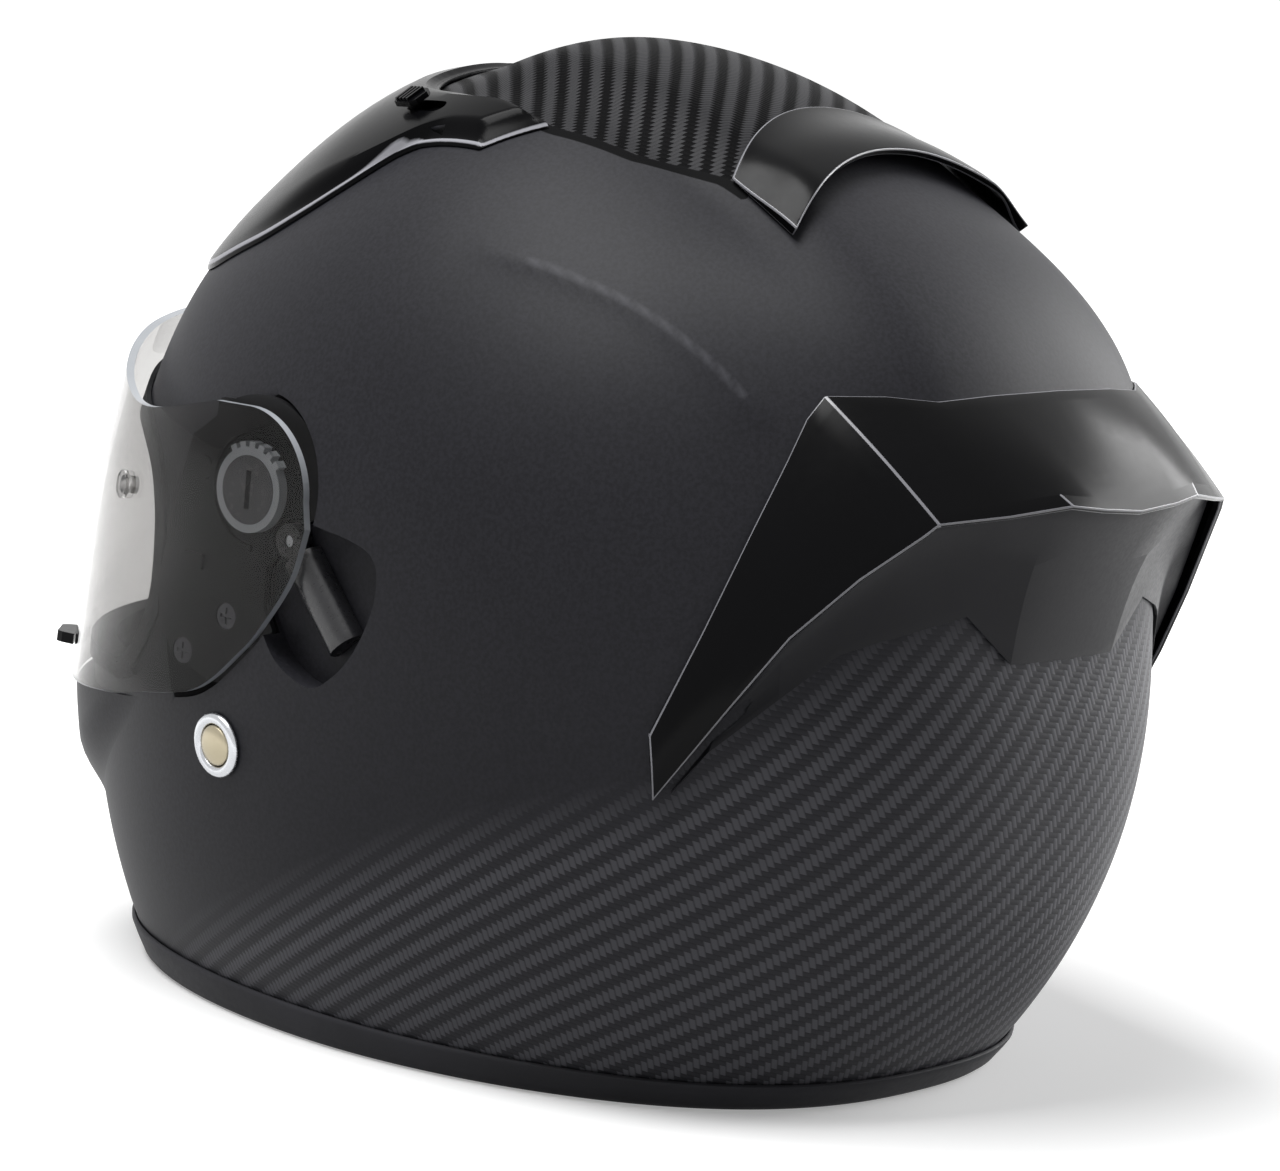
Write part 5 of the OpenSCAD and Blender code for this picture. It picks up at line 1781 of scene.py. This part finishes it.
@dataclass
class LiningGroup:
    """Bead foam liners, cloth pads and the breath and chin guards."""

    wall: float = 4.0
    liner_t: float = 33.0
    gap: float = 0.6
    room_x: float = 113.4
    seam_w: float = 2.2
    voxel: float = 4.5
    frames: int = 20
    pressure: float = 4.0

    def pad(
        self,
        name: str,
        source: str,
        inside: float,
        cap: float,
        seams: Optional[Callable[[Points], Points]] = None,
    ) -> None:
        """Makes a foam pad under cloth: a solid remeshed, drawn in, blown up and held in its space.

        Args:
            name: Name of the piece.
            source: The solid that it stands for.
            inside: Stand-off of the form that the pad may not pass.
            cap: Most that a point may move while it swells, in millimetres.
            seams: Depth of the sewn channels as a function of the points.
        """
        obj = link(name, NODES[source].data.copy())
        merged(obj)
        even = obj.modifiers.new("even", "REMESH")
        even.mode = "VOXEL"
        even.voxel_size = self.voxel * MM
        relax = obj.modifiers.new("relax", "SMOOTH")
        relax.iterations = 6
        relax.factor = 0.5
        keep_modifiers(obj)
        drawn = points_of(obj) - normals(obj) * 0.8
        move_to(obj, drawn)
        self.blow(obj, drawn, cap)
        soft = obj.modifiers.new("even", "SUBSURF")
        soft.levels = soft.render_levels = 1
        keep_modifiers(obj)
        p = points_of(obj)
        if seams is not None:
            p = p - normals(obj) * seams(p)[:, None]
        middle = np.array([0, PLAIN.axis_y, PLAIN.axis_z])
        level = PLAIN.level(p, np.full(len(p), inside))[:, None]
        p = np.where(level > 1, middle + (p - middle) / np.maximum(level, 1), p)
        box = np.array(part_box(source)) / MM
        move_to(obj, np.clip(p, box[0] - 0.5, box[1] + 0.5))
        install(obj, "helmet", Look.LINING, source)

    def blow(self, obj: Piece, start: Points, cap: float) -> None:
        """Runs cloth under an inner pressure and holds each point's move to the cap.

        Args:
            obj: The pad.
            start: Its points before the run, in millimetres.
            cap: Most that a point may move, in millimetres.
        """
        scene = bpy.context.scene
        mod = obj.modifiers.new("cloth", "CLOTH")
        mod.settings.use_pressure = True
        mod.settings.uniform_pressure_force = self.pressure
        mod.settings.effector_weights.gravity = 0.0
        mod.settings.quality = 4
        mod.point_cache.frame_start = 1
        mod.point_cache.frame_end = self.frames
        for frame in range(1, self.frames + 1):
            scene.frame_set(frame)
        swollen = obj.evaluated_get(bpy.context.evaluated_depsgraph_get())
        move = points_of(swollen) - start
        obj.modifiers.clear()
        scene.frame_set(1)
        size = np.linalg.norm(move, axis=1, keepdims=True)
        move_to(obj, start + move * np.minimum(1, cap / np.maximum(size, 1e-9)))

    def liner(self) -> Piece:
        """Fills bead foam between shell and pads, open at the port, the bosses and the strap slots.

        Returns:
            The liner.
        """
        low = 22.6 - PIVOT[1]
        side_outline = [[-69, low], [-69, -58], [-40, -50], [-33, -30], [-33, 0], [-45, 12], [-80, 18],
                        [-220, 22], [-220, 220], [260, 220], [260, low]]
        cuts = [PLAIN.solid(-self.wall - self.liner_t, 144), through(grown(port_outline(4), 4.6))]
        for side in SIDES.values():
            cuts += [
                beside(disc((0, 0), 32.5), side, self.room_x),
                beside(block(-36, -61, 11.5, 27.5), side, self.room_x),
                beside(grown(well_outline(4), 7.2), side, self.room_x),
                prism(block(-22, -15.5, 12, 15.5), -26, 4, RIVET.on_side(side).along),
            ]
        foam = PLAIN.solid(-self.wall - self.gap, 144, "impact_liner_foam")
        return carve(foam, only=[through(np.array(side_outline, float))], away=cuts)

    def seam(self, away: Points) -> Points:
        """Share of a sewn channel's depth: a Gaussian of the distance from its line."""
        return np.exp(-((away / self.seam_w) ** 2))

    def cheek_seams(self, p: Points) -> Points:
        """Depth of the channel sewn round the middle of a cheek pad, as an ellipse."""
        y, z = p[:, 1] - PIVOT[0], p[:, 2] - PIVOT[1]
        return 1.3 * self.seam(np.abs(np.hypot((y + 18) / 34, (z + 82) / 30) - 1) * 30)

    def crown_seams(self, p: Points) -> Points:
        """Depth of the channels across the crown pad, every 24 mm, and of two along it."""
        rows = (p[:, 1] + 12) / 24
        return 1.0 * self.seam((rows - np.round(rows)) * 24) + 0.8 * self.seam(np.abs(p[:, 0]) - 26)

    def curtain(self) -> Piece:
        """Stretches a cloth flap under the chin, from the rim inwards, sagging by a sine.

        Returns:
            The flap.
        """
        turn = np.radians(np.linspace(-150, -30, 121))
        aim = np.stack([np.cos(turn), np.sin(turn), 0 * turn], -1)
        origin = np.broadcast_to([0.0, -10.0, 6.4], aim.shape)
        flap = np.stack([
            PLAIN.cast(origin, aim, np.full(len(turn), -9.7 - 23.0 * t)) - [0, 0, 1.6 * math.sin(math.pi * t)]
            for t in np.linspace(0, 1, 13)
        ])
        obj = put_mesh("chin_curtain_cloth", flap.reshape(-1, 3), grid_faces(*flap.shape[:2]), 60)
        thick = obj.modifiers.new("thick", "SOLIDIFY")
        thick.thickness = 0.9 * MM
        thick.offset = 0.0
        keep_modifiers(obj, 60)
        return obj

    def build(self) -> None:
        """Builds and dresses the group."""
        inside = -self.wall - self.liner_t - 0.7
        self.pad("crown_pad_cloth", "crown_pad", inside, 2.0, self.crown_seams)
        self.pad("cheek_pad_cloth_left", "cheek_pad_left", inside, 3.0, self.cheek_seams)
        self.pad("cheek_pad_cloth_right", "cheek_pad_right", inside, 3.0, self.cheek_seams)
        self.pad("neck_roll_cloth", "neck_roll", -9.7, 2.0)
        install(self.liner(), "helmet", Look.FOAM, "impact_liner")
        redress(Look.FOAM, "chin_liner")
        redress(Look.RUBBER, "breath_guard")
        install(self.curtain(), "helmet", Look.LINING, "chin_curtain")


@dataclass
class StrapGroup:
    """Webbing, buckle and the rivets that carry them."""

    width: float = 24.0
    thick: float = 1.9
    face_x: float = 61.5
    plate_drop: float = 1.7
    plate_t: float = 1.8
    bend_r: float = 4.0
    rivet_r: float = 5.5

    def webbing(self, name: str, side: int, z_end: float) -> Piece:
        """Carries the webbing from the anchor through two bends down along the cheek pad.

        Args:
            name: Name of the piece.
            side: 1 on the left, -1 on the right.
            z_end: Height of its lower end in millimetres.

        Returns:
            The band, with rolled edges.
        """
        r = self.bend_r
        hang_x = self.face_x - 1.6
        anchor_x = RIVET.origin[0] - 4.0 - self.plate_drop - self.plate_t - 4
        z = RIVET.origin[2] - 4
        line = np.concatenate([
            [[anchor_x, z + 3]],
            np.array([anchor_x - r, z - 1]) + arc(r, 0, -90, 10),
            np.array([hang_x + r, z - 5 - r]) + arc(r, 90, 180, 10),
            np.stack([np.full(24, hang_x), np.linspace(z - 10, z_end, 24)], -1),
        ])
        path = np.stack([line[:, 0] * side, np.full(len(line), RIVET.origin[1]), line[:, 1]], -1)
        h, w = self.thick / 2, self.width / 2
        rolls = [[w - h, 0] + arc(h, -90, 90, 6), [h - w, 0] + arc(h, 90, 270, 6)]
        obj = sweep(name, path, np.tile([1.0 * side, 0, 0.35], (len(path), 1)), np.concatenate(rolls))
        return obj

    def rivet(self, name: str, seat: Seat) -> Piece:
        """Turns the rivet: foot, shank and a domed cap whose profile is a quarter of an ellipse.

        Args:
            name: Name of the piece.
            seat: Its place on the shell.

        Returns:
            The rivet.
        """
        low = -self.plate_drop - self.plate_t - 4.1
        a = np.radians(np.linspace(0, 90, 14))
        dome = np.stack([self.rivet_r * np.cos(a), 0.9 + 1.7 * np.sin(a)], -1)
        dome[-1, 0] = 0
        body = [[0, low - 1.1], [3.5, low - 1.1], [3.5, low], [2.5, low], [2.5, 0.2],
                [self.rivet_r - 0.2, 0.2], [self.rivet_r, 0.4]]
        return lathe(name, np.concatenate([body, dome]), seat)

    def ring(self, name: str, seat: Seat) -> Piece:
        """Turns the bright ring round the rivet's cap.

        Args:
            name: Name of the piece.
            seat: Its place on the shell.

        Returns:
            The ring.
        """
        profile = [[5.65, 0.15], [8.55, 0.15], [8.75, 0.35], [8.75, 0.8], [8.5, 1.25], [8.15, 1.6],
                   [7.2, 1.85], [6.4, 1.7], [5.95, 1.35], [5.7, 0.9]]
        return lathe(name, np.array(profile), seat)

    def build(self) -> None:
        """Builds and dresses the group."""
        install(self.webbing("strap_webbing_left", 1, 26), "helmet", Look.WEBBING, "strap_left")
        install(self.webbing("strap_webbing_right", -1, 44), "helmet", Look.WEBBING, "strap_right")
        for name, side in SIDES.items():
            seat = RIVET.on_side(side)
            install(self.ring(f"rivet_ring_turned_{name}", seat), "helmet", Look.RING, f"rivet_ring_{name}")
            install(self.rivet(f"rivet_turned_{name}", seat), "helmet", Look.CHAMPAGNE, f"rivet_{name}")
            redress(Look.STEEL, f"anchor_plate_{name}")
        redress(Look.STEEL, "buckle_body", "buckle_pin")
        redress(Look.SATIN, "buckle_lever", "ratchet_strip")


@dataclass
class Studio:
    """Camera at the photograph's angle, soft lamps, a pale floor and a white surround.

    The target stands beside the camera's axis, by off_axis pixels of the 1280 x 1171 frame.
    """

    target: tuple = (0.0, -12.2, 139.05)
    distance: float = 1339.0
    azimuth: float = 129.5
    elevation: float = 8.0
    roll: float = 5.0
    lens: float = 135.6
    focal_px: float = 4821.0
    off_axis: tuple = (40.0, -82.0)
    floor_reach: float = 15000.0

    def camera(self) -> None:
        """Sets the camera, with no shift: its axis goes through the middle of the frame."""
        a, e, r = (math.radians(v) for v in (self.azimuth, self.elevation, self.roll))
        b = np.array([math.sin(a) * math.cos(e), -math.cos(a) * math.cos(e), math.sin(e)])
        right = unit(np.cross(-b, UP))
        up = np.cross(right, -b)
        right, up = math.cos(r) * right + math.sin(r) * up, -math.sin(r) * right + math.cos(r) * up
        place = np.array(self.target) + b * self.distance
        back = -unit(-b * self.focal_px + right * self.off_axis[0] + up * self.off_axis[1])
        right = unit(right - np.dot(right, back) * back)
        up = np.cross(back, right)
        data = bpy.data.cameras.new("camera")
        data.lens = self.lens
        data.sensor_width = 36.0
        data.clip_start = 0.05
        cam = link("camera", data)
        turned = np.eye(4)
        turned[:3] = np.stack([right, up, back, place * MM], -1)
        cam.matrix_world = Matrix(turned.tolist())
        bpy.context.scene.camera = cam

    def lamp(self, name: str, place: Sequence[float], size: float, power: float) -> None:
        """Aims a square soft lamp at the middle of the helmet.

        Args:
            name: Name of the lamp.
            place: Where it stands, in metres.
            size: Length of its side in metres.
            power: Its power in watts.
        """
        data = bpy.data.lights.new(name, "AREA")
        data.shape = "SQUARE"
        data.size = size
        data.energy = power
        lamp = link(name, data)
        lamp.location = place
        aim = Vector((0, 0, 0.13)) - Vector(place)
        lamp.rotation_euler = aim.to_track_quat("-Z", "Y").to_euler()

    def seen(self, tree: Tree, path: Outputs) -> bpy.types.Node:
        """1 for rays from the camera, off gloss and through glass, and 0 for the others."""
        seen = node(tree, "Math", {0: path["Is Camera Ray"], 1: path["Is Glossy Ray"]}, operation="MAXIMUM")
        return node(tree, "Math", {0: seen, 1: path["Is Transmission Ray"]}, operation="MAXIMUM")

    def surround(self) -> None:
        """Sets a world that is white to the camera, off gloss and through glass, and dim as a light."""
        world = bpy.data.worlds.new("surround")
        bpy.context.scene.world = world
        world.use_nodes = True
        tree = world.node_tree
        tree.nodes.clear()
        seen = self.seen(tree, node(tree, "LightPath").outputs)
        level = node(tree, "MapRange", {0: seen, 3: 0.12, 4: 1.0})
        back = node(tree, "Background", {"Color": "#ffffff", "Strength": level})
        node(tree, "OutputWorld", {0: back})

    def floor(self) -> None:
        """Lays a wide pale floor: its diffuse part keeps the shadow, and a glow lifts the rest to white; the
        glow is weaker near the helmet, a painted shadow round it.
        """
        s = self.floor_reach
        corners = np.array([[-s, -s, 0.0], [s, -s, 0.0], [s, s, 0.0], [-s, s, 0.0]])
        obj = put_mesh("floor", corners, [[0, 1, 2, 3]])
        mat = bpy.data.materials.new("matte_white_floor")
        mat.use_nodes = True
        tree = mat.node_tree
        tree.nodes.clear()
        path = node(tree, "LightPath").outputs
        place = node(tree, "TexCoord").outputs["Object"]
        away = node(tree, "VectorMath", {0: place}, operation="LENGTH").outputs["Value"]
        # Painted shadow: the glow is 0.3 within 0.15 m of the middle and rises to 0.95 at 0.9 m, so the floor
        # is darker round the helmet even where its shadow doesn't fall
        reach = {0: away, 1: 0.15, 2: 0.9, 3: 0.3, 4: 0.95}
        level = node(tree, "MapRange", reach, interpolation_type="SMOOTHSTEP")
        glow = node(tree, "Math", {0: self.seen(tree, path), 1: level}, operation="MULTIPLY")
        mottle = node(tree, "TexNoise", {"Vector": place, "Scale": 3.0})
        tone = node(tree, "Mix", {0: mottle, 6: "#e4e4e4", 7: "#e8e8e8"}, data_type="RGBA")
        tone = node(tree, "Mix", {0: path["Is Diffuse Ray"], 6: tone, 7: "#a4a4a4"}, data_type="RGBA")
        matte = node(tree, "BsdfDiffuse", {"Color": tone})
        light = node(tree, "Emission", {"Color": "#ffffff", "Strength": glow})
        node(tree, "OutputMaterial", {0: node(tree, "AddShader", {0: matte, 1: light})})
        obj.data.materials.append(mat)

    def build(self) -> None:
        """Builds the stage."""
        bpy.context.scene.view_settings.view_transform = "Standard"
        self.camera()
        self.surround()
        self.floor()
        self.lamp("key", (0.7, -0.25, 2.2), 1.3, 70.0)
        self.lamp("back", (-1.95, 0.62, 0.8), 1.3, 42.0)


def main() -> None:
    logging.basicConfig(level=logging.INFO, format="%(name)s: %(message)s")
    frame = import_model()
    NODES.update(frame["nodes"])
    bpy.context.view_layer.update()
    Studio().build()
    for group in (ShellGroup(), ShieldGroup(), VentGroup(), SpoilerGroup(), LiningGroup(), StrapGroup()):
        group.build()
        log.info("%s is built", type(group).__name__)


if __name__ == "__main__":
    main()
